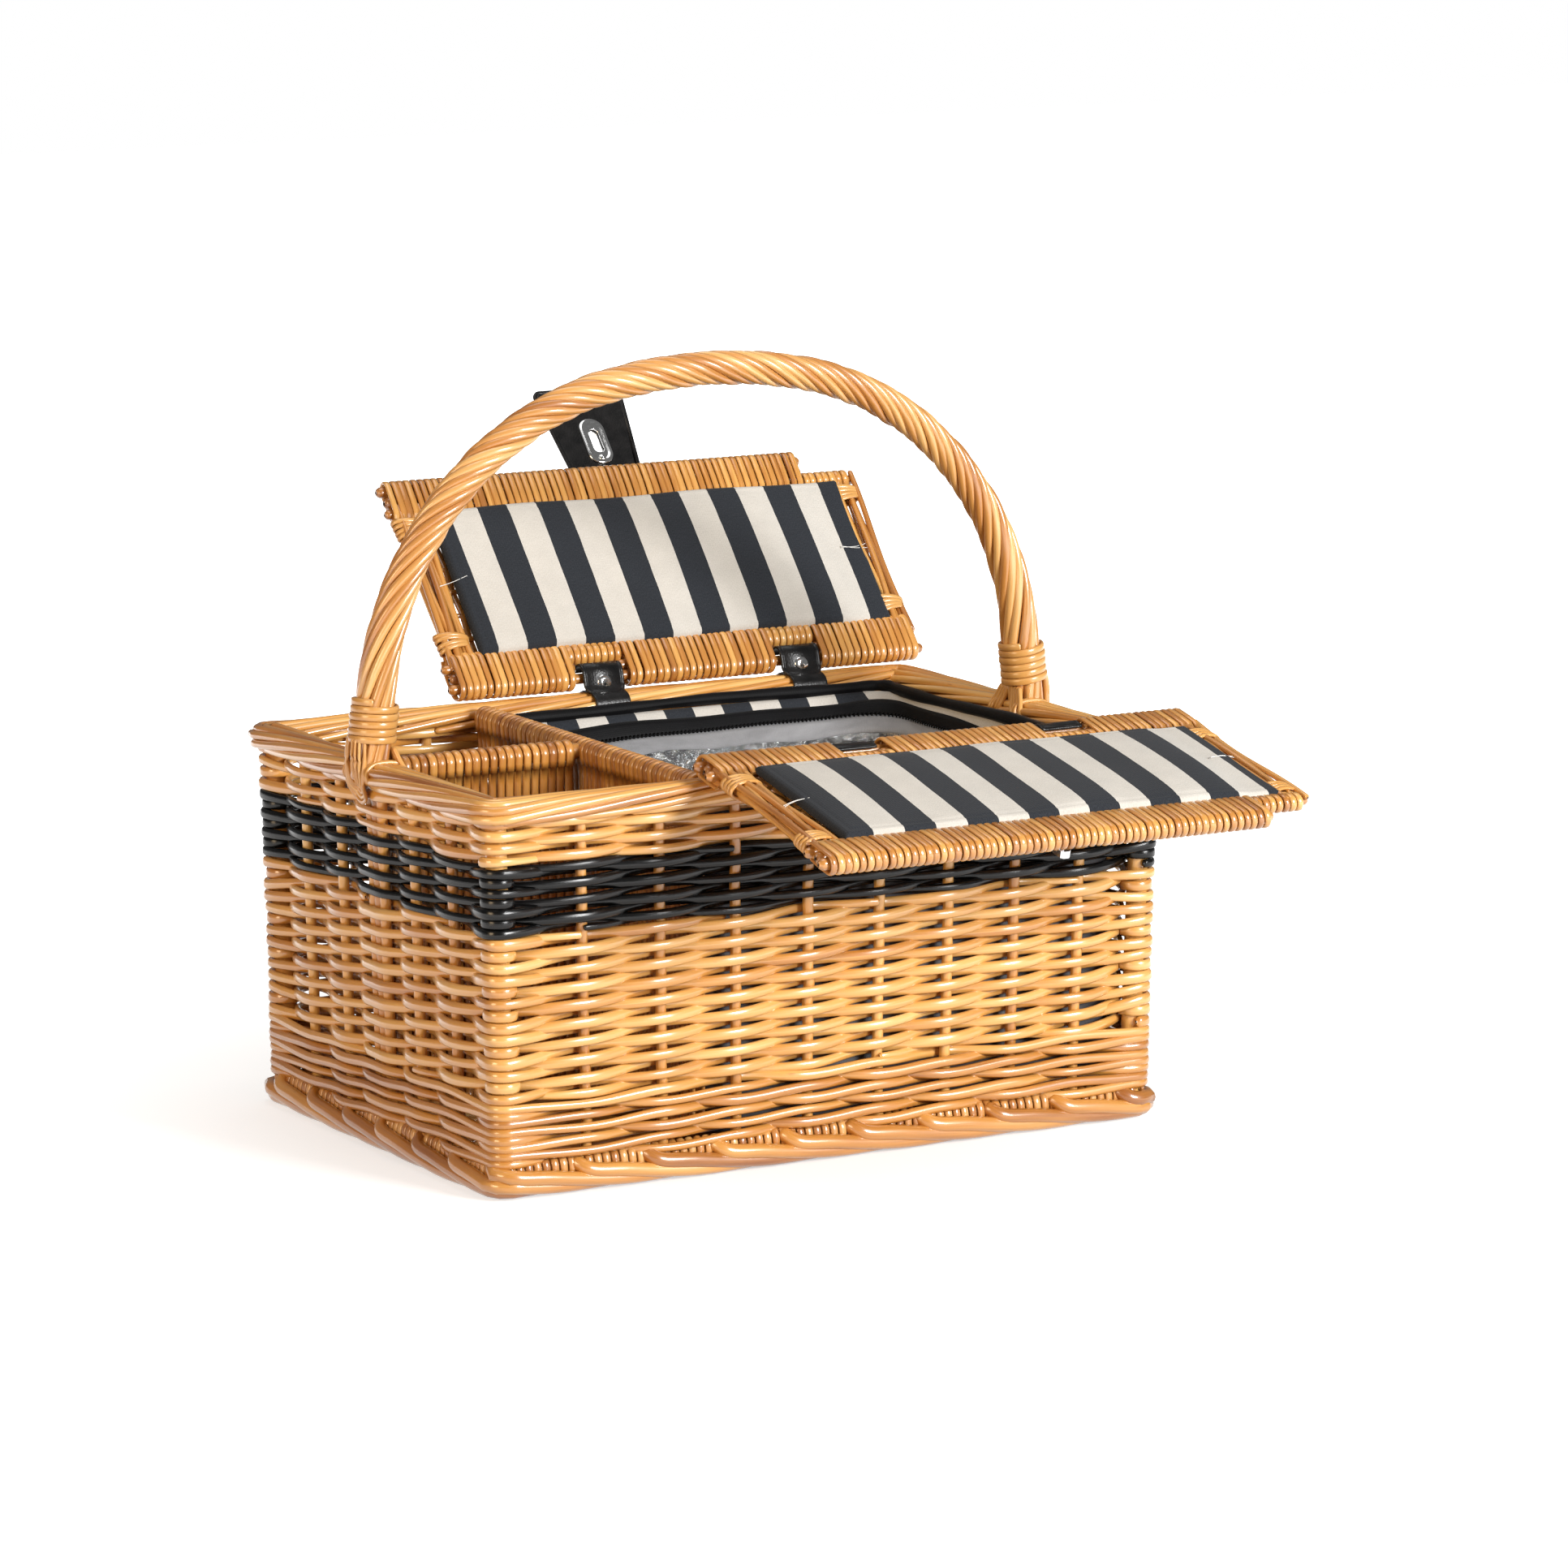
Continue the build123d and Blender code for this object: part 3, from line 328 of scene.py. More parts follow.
def ramp(tree, factor, stops):
    made = node(tree, "ShaderNodeValToRGB")
    elements = made.color_ramp.elements
    while len(elements) < len(stops):
        elements.new(0.5)
    for element, (position, colour) in zip(elements, stops):
        element.position = position
        element.color = (*colour, 1)
    tree.links.new(factor, made.inputs["Fac"])
    return made.outputs["Color"]


def mix_colour(tree, factor, a, b, blend="MIX"):
    made = node(tree, "ShaderNodeMix", data_type="RGBA", blend_type=blend)
    for slot, value in ((0, factor), (6, a), (7, b)):
        if isinstance(value, (int, float)):
            made.inputs[slot].default_value = value
        elif isinstance(value, tuple):
            made.inputs[slot].default_value = (*value, 1)
        else:
            tree.links.new(value, made.inputs[slot])
    return made.outputs[2]


def add_bump(tree, shader, height, strength, distance):
    bump = node(tree, "ShaderNodeBump", Strength=strength, Distance=distance, Height=height)
    fill(tree, shader, Normal=bump.outputs["Normal"])


def strand_material(
    name, stops, roughness=0.36, coat=0.3, knots=0.5, streak=0.32, drift=0.45, spread=0.7, shine=0.5
):
    """Varnished rod: a tone per strand, long streaks, slow drift along it and dark knots."""
    material, tree, shader = new_material(name)
    tone = node(tree, "ShaderNodeAttribute", attribute_name="tone").outputs["Fac"]
    fibre = uv_noise(tree, (22, 900), 4.0)
    slow = uv_noise(tree, (9, 60), 2.0)
    level = scaled(tree, tone, spread, 0.5 - spread / 2)
    fibre_part = scaled(tree, fibre, streak, -streak / 2)
    slow_part = scaled(tree, slow, drift * 2, -drift)
    total = math_node(tree, "ADD", math_node(tree, "ADD", level, fibre_part), slow_part, clamp=True)
    colour = ramp(tree, total, stops)
    spots = uv_noise(tree, (55, 420), 2.0, 0.5)
    speck = scaled(tree, spots, 9.0, -6.35, clamp=True)
    fleck = math_node(tree, "MULTIPLY", speck, knots)
    colour = mix_colour(tree, fleck, colour, (0.16, 0.06, 0.02))
    gloss = scaled(tree, fibre, 0.22, roughness - 0.11)
    fill(tree, shader, Base_Color=colour, Roughness=gloss, Specular_IOR_Level=shine)
    fill(tree, shader, Coat_Weight=coat, Coat_Roughness=0.2, Coat_IOR=1.65)
    add_bump(tree, shader, fibre, 0.35, 0.0005)
    return material


WILLOW = strand_material(
    "willow_varnished",
    [(0.0, (0.27, 0.085, 0.012)), (0.3, (0.53, 0.222, 0.038)),
     (0.62, (0.71, 0.365, 0.09)), (1.0, (0.86, 0.56, 0.205))],
    roughness=0.40, coat=1.0,
)
WILLOW_PALE = strand_material(
    "willow_pale",
    [(0.0, (0.30, 0.10, 0.018)), (0.35, (0.50, 0.21, 0.045)),
     (0.7, (0.64, 0.32, 0.09)), (1.0, (0.76, 0.45, 0.16))],
    coat=0.8, spread=0.75,
)
# Stakes and corner posts: a lighter copy of the willow colours, painted light for the stakes catching the
# lamps between the courses.
STAKE = strand_material(
    "willow_stakes_painted_light",
    [(0.0, (0.42, 0.165, 0.03)), (0.4, (0.66, 0.315, 0.07)),
     (0.75, (0.80, 0.445, 0.125)), (1.0, (0.88, 0.57, 0.21))],
    roughness=0.42, coat=0.6, knots=0.25,
)
BLACK = strand_material(
    "willow_black_dyed",
    [(0.0, (0.001, 0.001, 0.001)), (0.5, (0.002, 0.002, 0.002)),
     (0.85, (0.006, 0.005, 0.005)), (1.0, (0.03, 0.02, 0.014))],
    roughness=0.25, coat=0.0, knots=0.0, shine=0.4,
)
CANE = strand_material(
    "cane_split",
    [(0.0, (0.42, 0.17, 0.035)), (0.4, (0.61, 0.295, 0.075)), (1.0, (0.78, 0.48, 0.17))],
    roughness=0.3, coat=0.4, knots=0.15, streak=0.5, spread=0.4, drift=0.2,
)


def cloth_bump(tree, shader):
    """A plain weave from two crossed waves along the UVs."""
    uv = node(tree, "ShaderNodeUVMap").outputs["UV"]
    parts = []
    for direction in ("X", "Y"):
        wave = node(tree, "ShaderNodeTexWave", Vector=uv, Scale=WEAVE_SCALE, Distortion=0.6, Detail=1.0)
        wave.bands_direction = direction
        parts.append(wave.outputs["Fac"])
    add_bump(tree, shader, math_node(tree, "MULTIPLY", *parts), 0.3, 0.0003)


def striped_material():
    """Canvas with woven stripes: dark and cream in turn along the first UV."""
    material, tree, shader = new_material("canvas_striped")
    uv = node(tree, "ShaderNodeUVMap").outputs["UV"]
    split = node(tree, "ShaderNodeSeparateXYZ", Vector=uv)
    wobble = uv_noise(tree, (400, 60), 2.0)
    shift = scaled(tree, wobble, 0.0006, split.outputs["X"])
    turns = math_node(tree, "FRACT", math_node(tree, "DIVIDE", shift, 2 * STRIPE_WIDTH * MM))
    cream = math_node(tree, "GREATER_THAN", turns, 0.5)
    thread = uv_noise(tree, (2600, 900), 2.0, 0.7)
    blotch = uv_noise(tree, (60, 60), 3.0)
    navy = [(0.25, (0.010, 0.012, 0.016)), (0.6, (0.026, 0.030, 0.037)), (0.9, (0.055, 0.060, 0.070))]
    linen = [(0.2, (0.47, 0.44, 0.39)), (0.6, (0.61, 0.58, 0.53)), (0.9, (0.69, 0.665, 0.62))]
    dark = ramp(tree, thread, navy)
    pale = ramp(tree, thread, linen)
    colour = mix_colour(tree, cream, dark, pale)
    soil = ramp(tree, blotch, [(0.3, (0.92, 0.92, 0.92)), (0.7, (1, 1, 1))])
    colour = mix_colour(tree, 1.0, colour, soil, "MULTIPLY")
    fill(tree, shader, Base_Color=colour, Roughness=0.9, Specular_IOR_Level=0.2)
    fill(tree, shader, Sheen_Weight=0.06, Sheen_Roughness=0.5)
    cloth_bump(tree, shader)
    return material


def leather_material():
    material, tree, shader = new_material("leather_black")
    grain = object_texture(tree, "Voronoi", Scale=900.0)
    cloud = object_texture(tree, "Noise", Scale=140.0, Detail=4.0)
    colour = ramp(tree, cloud, [(0.3, (0.003, 0.003, 0.003)), (0.75, (0.010, 0.009, 0.009))])
    rough = scaled(tree, cloud, 0.2, 0.24)
    fill(tree, shader, Base_Color=colour, Roughness=rough, Specular_IOR_Level=0.38)
    add_bump(tree, shader, grain, 0.25, 0.0004)
    return material


def metal_material():
    material, tree, shader = new_material("chrome_bright")
    haze = object_texture(tree, "Noise", Scale=700.0, Detail=3.0)
    rough = ramp(tree, haze, [(0.3, (0.07, 0.07, 0.07)), (0.8, (0.2, 0.2, 0.2))])
    colour = ramp(tree, haze, [(0.2, (0.78, 0.775, 0.76)), (0.8, (0.92, 0.92, 0.91))])
    fill(tree, shader, Base_Color=colour, Roughness=rough, Metallic=1.0)
    return material


def foil_material():
    """Crinkled bright film."""
    material, tree, shader = new_material("film_crinkled")
    facets = object_texture(tree, "Voronoi", Scale=130.0)
    fine = object_texture(tree, "Noise", Scale=260.0, Detail=5.0, Roughness=0.7)
    add_bump(tree, shader, math_node(tree, "ADD", facets, fine), 0.9, 0.003)
    # Dark and bright patches in the colour, from the same noise as the crinkles: painted reflections of the
    # crinkled film.
    colour = ramp(tree, fine, [(0.35, (0.12, 0.125, 0.13)), (0.65, (0.78, 0.79, 0.80))])
    fill(tree, shader, Base_Color=colour, Roughness=0.22, Metallic=0.9)
    return material


def cloth_material(name, dark, pale, roughness=0.85, specular=0.25):
    """Plain woven cloth or tape."""
    material, tree, shader = new_material(name)
    thread = uv_noise(tree, (1500, 1500), 3.0, 0.7)
    cloud = uv_noise(tree, (30, 30), 3.0)
    both = scaled(tree, cloud, 0.5, math_node(tree, "MULTIPLY", thread, 0.5))
    colour = ramp(tree, both, [(0.3, dark), (0.7, pale)])
    fill(tree, shader, Base_Color=colour, Roughness=roughness, Specular_IOR_Level=specular)
    fill(tree, shader, Sheen_Weight=0.03)
    cloth_bump(tree, shader)
    return material


STRIPES = striped_material()
LEATHER = leather_material()
CHROME = metal_material()
FOIL = foil_material()
COOLER_CLOTH = cloth_material("cooler_cloth_grey", (0.07, 0.07, 0.074), (0.15, 0.15, 0.155))
BLACK_TRIM = cloth_material("trim_black_cloth", (0.001, 0.001, 0.001), (0.005, 0.005, 0.006), 0.5, 0.1)
GREY_TAPE = cloth_material("tape_grey", (0.15, 0.15, 0.155), (0.34, 0.34, 0.35), 0.7)
THREAD = cloth_material("thread_white", (0.70, 0.69, 0.66), (0.88, 0.87, 0.84))


# Walls

WALLS = (
    ("front", np.array([1.0, 0, 0]), np.array([0, -1.0, 0])),
    ("right", np.array([0, 1.0, 0]), np.array([1.0, 0, 0])),
    ("back", np.array([-1.0, 0, 0]), np.array([0, 1.0, 0])),
    ("left", np.array([0, -1.0, 0]), np.array([-1.0, 0, 0])),
)


def wall_stations(name, z):
    """Stake groups along one wall in the direction that the strands travel round the basket."""
    if name in ("front", "back"):
        span = half_length(z) - POST_INSET
        even = [2 * span / 9 * (i + 1) - span for i in range(8)]
        marks = [s + 9.0 * (1 - (s / span) ** 2) for s in even]
        marks = marks if name == "front" else [-s for s in reversed(marks)]
        return [(m, m) for m in marks], span
    span = half_width(z) - POST_INSET
    step = span / 3
    marks = [-2 * step, -step, 0, step, 2 * step]
    return [(m, m) if m else (-LEG_SPACING, LEG_SPACING) for m in marks], span


def wall_point(along, out, z, direction, normal):
    """Point from a distance along a wall, out of its stake line, and a height."""
    return (
        np.asarray(along)[:, None] * direction
        + (wall_half(normal, z) + np.asarray(out))[:, None] * normal
        + np.asarray(z)[:, None] * np.array([0, 0, 1.0])
    )


def ease(a, b, t):
    return a + (b - a) * (1 - np.cos(np.pi * t)) / 2


def loop_row(z, offset_at, lift_at, corner_out, step=4.0):
    """A strand all the way round: offset_at and lift_at give its place at each stake in turn."""
    points = []
    index = 0
    for name, direction, normal in WALLS:
        groups, span = wall_stations(name, z)
        nodes = [(-span, corner_out, 0.0)]
        for low, high in groups:
            for mark in sorted({low, high}):
                nodes.append((mark, offset_at(index), lift_at(index)))
            index += 1
        nodes.append((span, corner_out, 0.0))
        along, out, lift = [], [], []
        for (a0, o0, l0), (a1, o1, l1) in zip(nodes, nodes[1:]):
            t = np.linspace(0, 1, max(3, int((a1 - a0) / step)), endpoint=False)
            along.append(a0 + (a1 - a0) * t)
            out.append(ease(o0, o1, t))
            lift.append(ease(l0, l1, t))
        along, out, lift = (np.concatenate(v) for v in (along, out, lift))
        points.append(wall_point(along, out, z + lift, direction, normal))
        centre = corner_centre(direction, normal, span, z)
        turn = np.linspace(0, np.pi / 2, 8, endpoint=False)[:, None]
        reach = corner_out + POST_INSET
        points.append(centre + reach * (np.cos(turn) * normal + np.sin(turn) * direction))
    return np.vstack(points)


def wander(count, size, waves):
    """Smooth closed wobble."""
    t = full_turn(count)
    out = np.zeros(count)
    for k in waves:
        out += rng.uniform(0.4, 1) * np.sin(k * t + rng.uniform(0, 2 * np.pi))
    return size * out / max(1, len(waves)) ** 0.5


def taper_round(count, rods):
    """Thickness along a row: each rod goes from butt to tip, and the next begins under it."""
    t = (np.linspace(0, rods, count, endpoint=False) + rng.uniform(0, 1)) % 1.0
    fall = 1.14 - 0.30 * t
    blend = np.clip(t / 0.06, 0, 1)
    return fall * blend + 0.84 * (1 - blend)


def stop_at(number, z):
    """One of the places where a course crosses a stake or a corner post, counted round the basket."""
    count = 0
    for side, wall in enumerate(WALLS):
        groups, span = wall_stations(wall[0], z)
        if number < count + len(groups):
            low, high = groups[number - count]
            return {"wall": wall, "first": low, "last": high, "span": span, "post": False}
        count += len(groups)
        if number == count:
            return {"wall": wall, "next": WALLS[(side + 1) % 4], "span": span, "post": True}
        count += 1


def post_centre(stop, z):
    _, direction, normal = stop["wall"]
    return corner_centre(direction, normal, stop["span"], z)


def bend_between(start, start_way, end, end_way, count):
    """Curve from one point and direction to another."""
    t = np.linspace(0, 1, count, endpoint=False)[:, None]
    pull = np.linalg.norm(end - start) * 0.9
    return (
        (2 * t**3 - 3 * t**2 + 1) * start + (t**3 - 2 * t**2 + t) * pull * start_way
        + (3 * t**2 - 2 * t**3) * end + (t**3 - t**2) * pull * end_way
    )


def climbing_rod(stops, outside, heights, swing, depth):
    """A rod behind and in front of the given stops in turn, and how far out it is along the way."""
    corner_out = POST_RADIUS - POST_INSET + depth
    points, reach = [], []

    def add(path, out):
        points.append(path)
        reach.append(out)

    for k in range(len(stops) - 1):
        z0, z1 = heights[k], heights[k + 1]
        here, there = stop_at(stops[k] % STOPS, z0), stop_at(stops[k + 1] % STOPS, z1)
        near = 1.0 if outside[k] else -1.0
        t = np.linspace(0, 1, 11, endpoint=False)
        out = ease(near, -near, t)
        z = z0 + (z1 - z0) * t
        if not here["post"] and not there["post"]:
            _, direction, normal = here["wall"]
            along = here["last"] + (there["first"] - here["last"]) * t
            add(wall_point(along, out * swing, z, direction, normal), out)
            continue
        post, stake = (here, there) if here["post"] else (there, here)
        post_z = z0 if here["post"] else z1
        leaving = here["post"]
        if leaving == outside[k]:
            wall = post["next"] if leaving else post["wall"]
            span = wall_stations(wall[0], post_z)[1]
            a0, a1 = (-span, stake["first"]) if leaving else (stake["last"], span)
            edge = (corner_out, -swing) if leaving else (-swing, corner_out)
            if leaving:
                turn = np.linspace(0, np.pi / 2, 9, endpoint=False)[:, None]
                way = np.cos(turn) * post["wall"][2] + np.sin(turn) * post["wall"][1]
                add(post_centre(post, z0) + (corner_out + POST_INSET) * way, np.ones(9))
            add(wall_point(a0 + (a1 - a0) * t, ease(*edge, t), z, wall[1], wall[2]), out)
            continue
        diagonal = (post["wall"][2] + post["next"][2]) / 2**0.5
        inner = post_centre(post, post_z) - (POST_RADIUS + depth + 0.4) * diagonal
        inner_way = (post["wall"][1] + post["next"][1]) / 2**0.5
        wall = post["next"] if leaving else post["wall"]
        mark = stake["first"] if leaving else stake["last"]
        outer = wall_point([mark], [swing], [z1 if leaving else z0], wall[1], wall[2])[0]
        if leaving:
            add(bend_between(inner, inner_way, outer, wall[1], 11), out)
        else:
            add(bend_between(outer, wall[1], inner, inner_way, 11), out)
    return np.vstack(points), np.concatenate(reach)


def share_post(low, high, count, wrap):
    """Heights of the turns on a post: those of the courses that pass outside it, and spare ones."""
    total = max(count, round((high - low) / wrap))
    spots = low + (high - low) / total * (np.arange(total) + 0.5)
    taken = np.round((np.arange(count) + 0.5) * total / count - 0.5).astype(int)
    return spots[taken], np.delete(spots, taken)


def woven_band(name, material, low, high, courses, nodes_suffix, climb, height, depth, tones, wrap):
    """Plain weave whose courses climb slowly round the basket, with spare turns round the corner posts."""
    bundle = Bundle()
    pitch = (high - low) / courses
    swing = STAKE_RADIUS + depth * 0.95
    rods = {}
    for index in range(-climb, courses):
        turns = np.arange(STOPS + 1)
        heights = low + pitch * (index + 0.5 + climb * turns / STOPS)
        kept = (heights > low - 0.4 * pitch) & (heights < high + 0.4 * pitch)
        if kept.sum() >= 3:
            rods[index] = dict(zip(turns[kept], heights[kept]))
    for turn in range(STOPS + 1):
        stop = stop_at((turn + SEAM) % STOPS, (low + high) / 2)
        passing = [i for i in sorted(rods) if turn in rods[i] and (turn + i) % 2 == 0]
        if not stop["post"] or not passing:
            continue
        spots, spare = share_post(low, high, len(passing), wrap)
        for index, z in zip(passing, spots):
            rods[index][turn] = z
        for z in spare:
            angle = full_turn(28)[:, None]
            way = np.cos(angle) * np.array([1.0, 0, 0]) + np.sin(angle) * np.array([0, 1.0, 0])
            ring = post_centre(stop, z) + (POST_RADIUS + depth * 0.9) * way
            tone = rng.uniform(*tones)
            bundle.tube(ring, depth * 0.8, height * 1.02, sides=12, square=2.8, closed=True, tone=tone)
    for index, stops in rods.items():
        turns = np.array(sorted(stops))
        heights = np.array([stops[turn] for turn in turns])
        inside = np.clip(heights, low + 0.42 * pitch, high - 0.42 * pitch)
        thin = 1 - 0.55 * np.abs(heights - inside) / pitch
        path, reach = climbing_rod(turns + SEAM, (turns + index) % 2 == 0, inside, swing, depth)
        n = len(path)
        path[:, 2] += wander(n, 0.3, (3, 7, 11))
        size = taper_round(n, 2) * (1 + 0.07 * reach) * rng.uniform(0.97, 1.04)
        size *= np.interp(np.linspace(0, 1, n), np.linspace(0, 1, len(thin)), thin)
        bundle.tube(path, depth * size, height * size, sides=12, square=2.3, tone=rng.uniform(*tones))
    replaced = [f"{wall}_{nodes_suffix}" for wall, _, _ in WALLS]
    return bundle.build(name, material, "basket", replaced)


def build_wale():
    bundle = Bundle()
    rows, low, high = 8, 17.0, 51.5
    pitch = (high - low) / rows
    for row in range(rows):
        z = low + pitch * (row + 0.5)
        swing = STAKE_RADIUS + 2.3

        def place(k):
            return -swing if (k + row) % 3 == 0 else swing + (0.9 if (k + row) % 3 == 1 else 0.0)

        def lift(k):
            return (0.0, -1.1, 1.1)[(k + row) % 3]

        path = loop_row(z, place, lift, POST_RADIUS - POST_INSET + 2.4)
        n = len(path)
        path[:, 2] += wander(n, 0.4, (3, 7, 13))
        size = taper_round(n, 3)
        bundle.tube(path, 2.4 * size, 2.75 * size, closed=True, tone=rng.uniform(0.1, 0.75))
    bundle.build("wale_strands", WILLOW, "basket", [f"{wall}_wale" for wall, _, _ in WALLS])


def build_stakes():
    bundle = Bundle()
    for name, direction, normal in WALLS:
        low, _ = wall_stations(name, 12.0)
        high, _ = wall_stations(name, 208.0)
        for (a0, b0), (a1, b1) in zip(low, high):
            marks = [(a0, a1)] if a0 == b0 else [(m, m) for m in (-LEG_SPACING, 0, LEG_SPACING)]
            for start, end in marks:
                z = np.linspace(12.0, 209.0, 24)
                along = start + (end - start) * (z - z[0]) / (z[-1] - z[0]) + rng.normal(0, 0.25, 24)
                path = wall_point(along, np.full(24, 0.6), z, direction, normal)
                bundle.tube(path, STAKE_RADIUS * 0.98, STAKE_RADIUS * 0.98, up=normal, sides=10)
    nodes = [f"{wall}_stakes" for wall, _, _ in WALLS] + ["handle_legs"]
    bundle.build("stakes_round", STAKE, "basket", nodes)


def build_posts():
    posts = Bundle()
    for sx in (-1, 1):
        for sy in (-1, 1):
            z = np.linspace(13.0, 207.0, 20)
            path = np.stack([sx * (half_length(z) - POST_INSET), sy * (half_width(z) - POST_INSET), z], 1)
            posts.tube(path, POST_RADIUS * 0.97, POST_RADIUS * 0.97, up=(1, 0, 0), sides=16)
    posts.build("corner_posts_round", STAKE, "basket", ["corner_posts"])


def ring_frame(z):
    """The stake line at one height as (points, normals, distance along), corners rounded."""
    points, normals = [], []
    for name, direction, normal in WALLS:
        _, span = wall_stations(name, z)
        along = np.linspace(-span, span, 120, endpoint=False)
        points.append(wall_point(along, np.zeros(120), np.full(120, z), direction, normal))
        normals.append(np.repeat(normal[None], 120, 0))
        centre = corner_centre(direction, normal, span, z)
        turn = np.linspace(0, np.pi / 2, 12, endpoint=False)[:, None]
        way = np.cos(turn) * normal + np.sin(turn) * direction
        points.append(centre + POST_INSET * way)
        normals.append(way)
    points, normals = np.vstack(points), np.vstack(normals)
    gaps = np.linalg.norm(np.roll(points, -1, 0) - points, axis=1)
    return points, normals, np.concatenate([[0], np.cumsum(gaps)])


class Ring:
    """Places (distance along, out, height) on a ring that follows the wall."""

    def __init__(self, z):
        self.points, self.normals, self.run = ring_frame(z)
        self.length = self.run[-1]

    def at(self, s, out, z):
        s = np.mod(np.asarray(s, float), self.length)
        closed_p = np.vstack([self.points, self.points[:1]])
        closed_n = np.vstack([self.normals, self.normals[:1]])
        base = along_path(s, self.run, closed_p)
        way = unit(along_path(s, self.run, closed_n))
        out_points = base + way * np.asarray(out)[:, None]
        out_points[:, 2] = z
        return out_points, way

    def stations(self, spacing):
        count = int(round(self.length / spacing))
        return np.arange(count) * self.length / count, self.length / count


def laid_rods(bundle, ring, profile, spacing, radius, tones):
    """Border rods: each starts at a station and follows profile (pitches along, out, height)."""
    step, wobble = 0.06, 0.2
    starts, pitch = ring.stations(spacing)
    p = np.asarray(profile, float)
    t = np.arange(p[0, 0], p[-1, 0] + step / 2, step)
    curve = smooth_path(p, 0.02)
    curve = curve[np.argsort(curve[:, 0])]
    for start in starts:
        s = start + t * pitch + rng.uniform(-1.5, 1.5)
        out = np.interp(t, curve[:, 0], curve[:, 1]) + rng.normal(0, wobble)
        z = np.interp(t, curve[:, 0], curve[:, 2]) + rng.normal(0, wobble)
        path, way = ring.at(s, out, z)
        fall = np.linspace(1.06, 0.86, len(t)) * rng.uniform(0.94, 1.06)
        bundle.tube(path, radius * fall, radius * fall, up=way, sides=12, tone=rng.uniform(*tones))


def build_foot():
    bundle = Bundle()
    profile = [
        (-0.10, 3.5, 15.5), (-0.04, 7.2, 13.6), (0.10, 8.6, 11.6), (0.5, 8.8, 10.0), (1.0, 8.0, 7.0),
        (1.6, 7.0, 4.6), (2.2, 5.0, 4.2), (2.6, 2.0, 4.4),
    ]
    laid_rods(bundle, Ring(7.0), profile, BORDER_SPACING, 4.1, (0.0, 0.4))
    inner = [(0.0, -2.0, 4.4), (1.0, -5.0, 6.0), (2.0, -6.5, 8.0), (3.0, -4.0, 10.0)]
    laid_rods(bundle, Ring(7.0), inner, BORDER_SPACING, 3.9, (0.1, 0.65))
    bundle.build("foot_border_rods", WILLOW, "basket", ["foot_border"])


def build_base_wraps():
    wraps = Bundle()
    ring = Ring(13.0)
    starts, _ = ring.stations(5.2)
    for s in starts:
        z = np.array([19.5, 18.0, 15.0, 11.5, 9.0, 7.5])
        out = np.array([0.5, 3.4, 4.6, 4.6, 3.4, 0.5])
        path, way = ring.at(np.full(6, s) + np.linspace(0, 0.8, 6), out, z)
        path = smooth_path(path, 1.5)
        wraps.tube(path, 2.3, 1.3, up=way.mean(0), sides=8, square=2.6)
    wraps.build("base_edge_wraps", WILLOW_PALE, "basket")


def build_rim():
    bundle = Bundle()
    ring = Ring(212.0)
    profile = [
        (-0.2, 3.0, 203.4), (0.2, 6.4, 204.0), (1.0, 9.6, 206.6), (2.0, 9.9, 211.4), (3.0, 6.3, 214.0),
        (4.0, 1.2, 214.2), (5.0, -3.9, 213.9), (6.0, -8.2, 211.4), (7.0, -9.3, 206.6), (7.4, -7.4, 204.4),
    ]
    laid_rods(bundle, ring, profile, BORDER_SPACING, 2.42, (0.0, 0.95))
    core = [(0.0, 4.2, 208.0), (1.5, 0.0, 209.4), (3.0, -4.2, 208.0)]
    laid_rods(bundle, ring, core, 60.0, 3.4, (0.0, 0.4))
    bundle.build("rim_rolled_rods", WILLOW, "basket", ["rim_outer_rods", "rim_inner_rods"])


# Handle

HANDLE_X = 209.0
HANDLE_TILT = math.radians(7.0)
HANDLE_STRAIGHT = 41.7
SHOULDER_RADIUS = 179.0
CROWN_RADIUS = 307.0
BINDING_START = 10.5
BINDING_TURNS = 5.4
BINDING_REACH = 12.3
BINDING_PITCH = 4.1


def handle_curve():
    """Centre line from the right foot over the crown to the left foot, evenly spaced."""
    lean = np.array([-math.sin(HANDLE_TILT), 0, math.cos(HANDLE_TILT)])
    seat = np.array([HANDLE_X, 0, RIM_TOP])
    leg_end = seat + lean * HANDLE_STRAIGHT
    centre = leg_end - SHOULDER_RADIUS * np.array([math.cos(HANDLE_TILT), 0, math.sin(HANDLE_TILT)])
    meet = math.acos(centre[0] / (CROWN_RADIUS - SHOULDER_RADIUS))
    leg = seat - lean * 8 + lean * np.linspace(0, HANDLE_STRAIGHT + 8, 26)[:, None]
    a = np.linspace(HANDLE_TILT, meet, 60)[1:, None]
    shoulder = centre + SHOULDER_RADIUS * np.hstack([np.cos(a), 0 * a, np.sin(a)])
    hub = shoulder[-1] - CROWN_RADIUS * np.array([math.cos(meet), 0, math.sin(meet)])
    b = np.linspace(meet, math.pi / 2, 60)[1:, None]
    crown = hub + CROWN_RADIUS * np.hstack([np.cos(b), 0 * b, np.sin(b)])
    right = np.vstack([leg, shoulder, crown])
    left = right[-2::-1] * np.array([-1, 1, 1])
    return np.vstack([right, left])


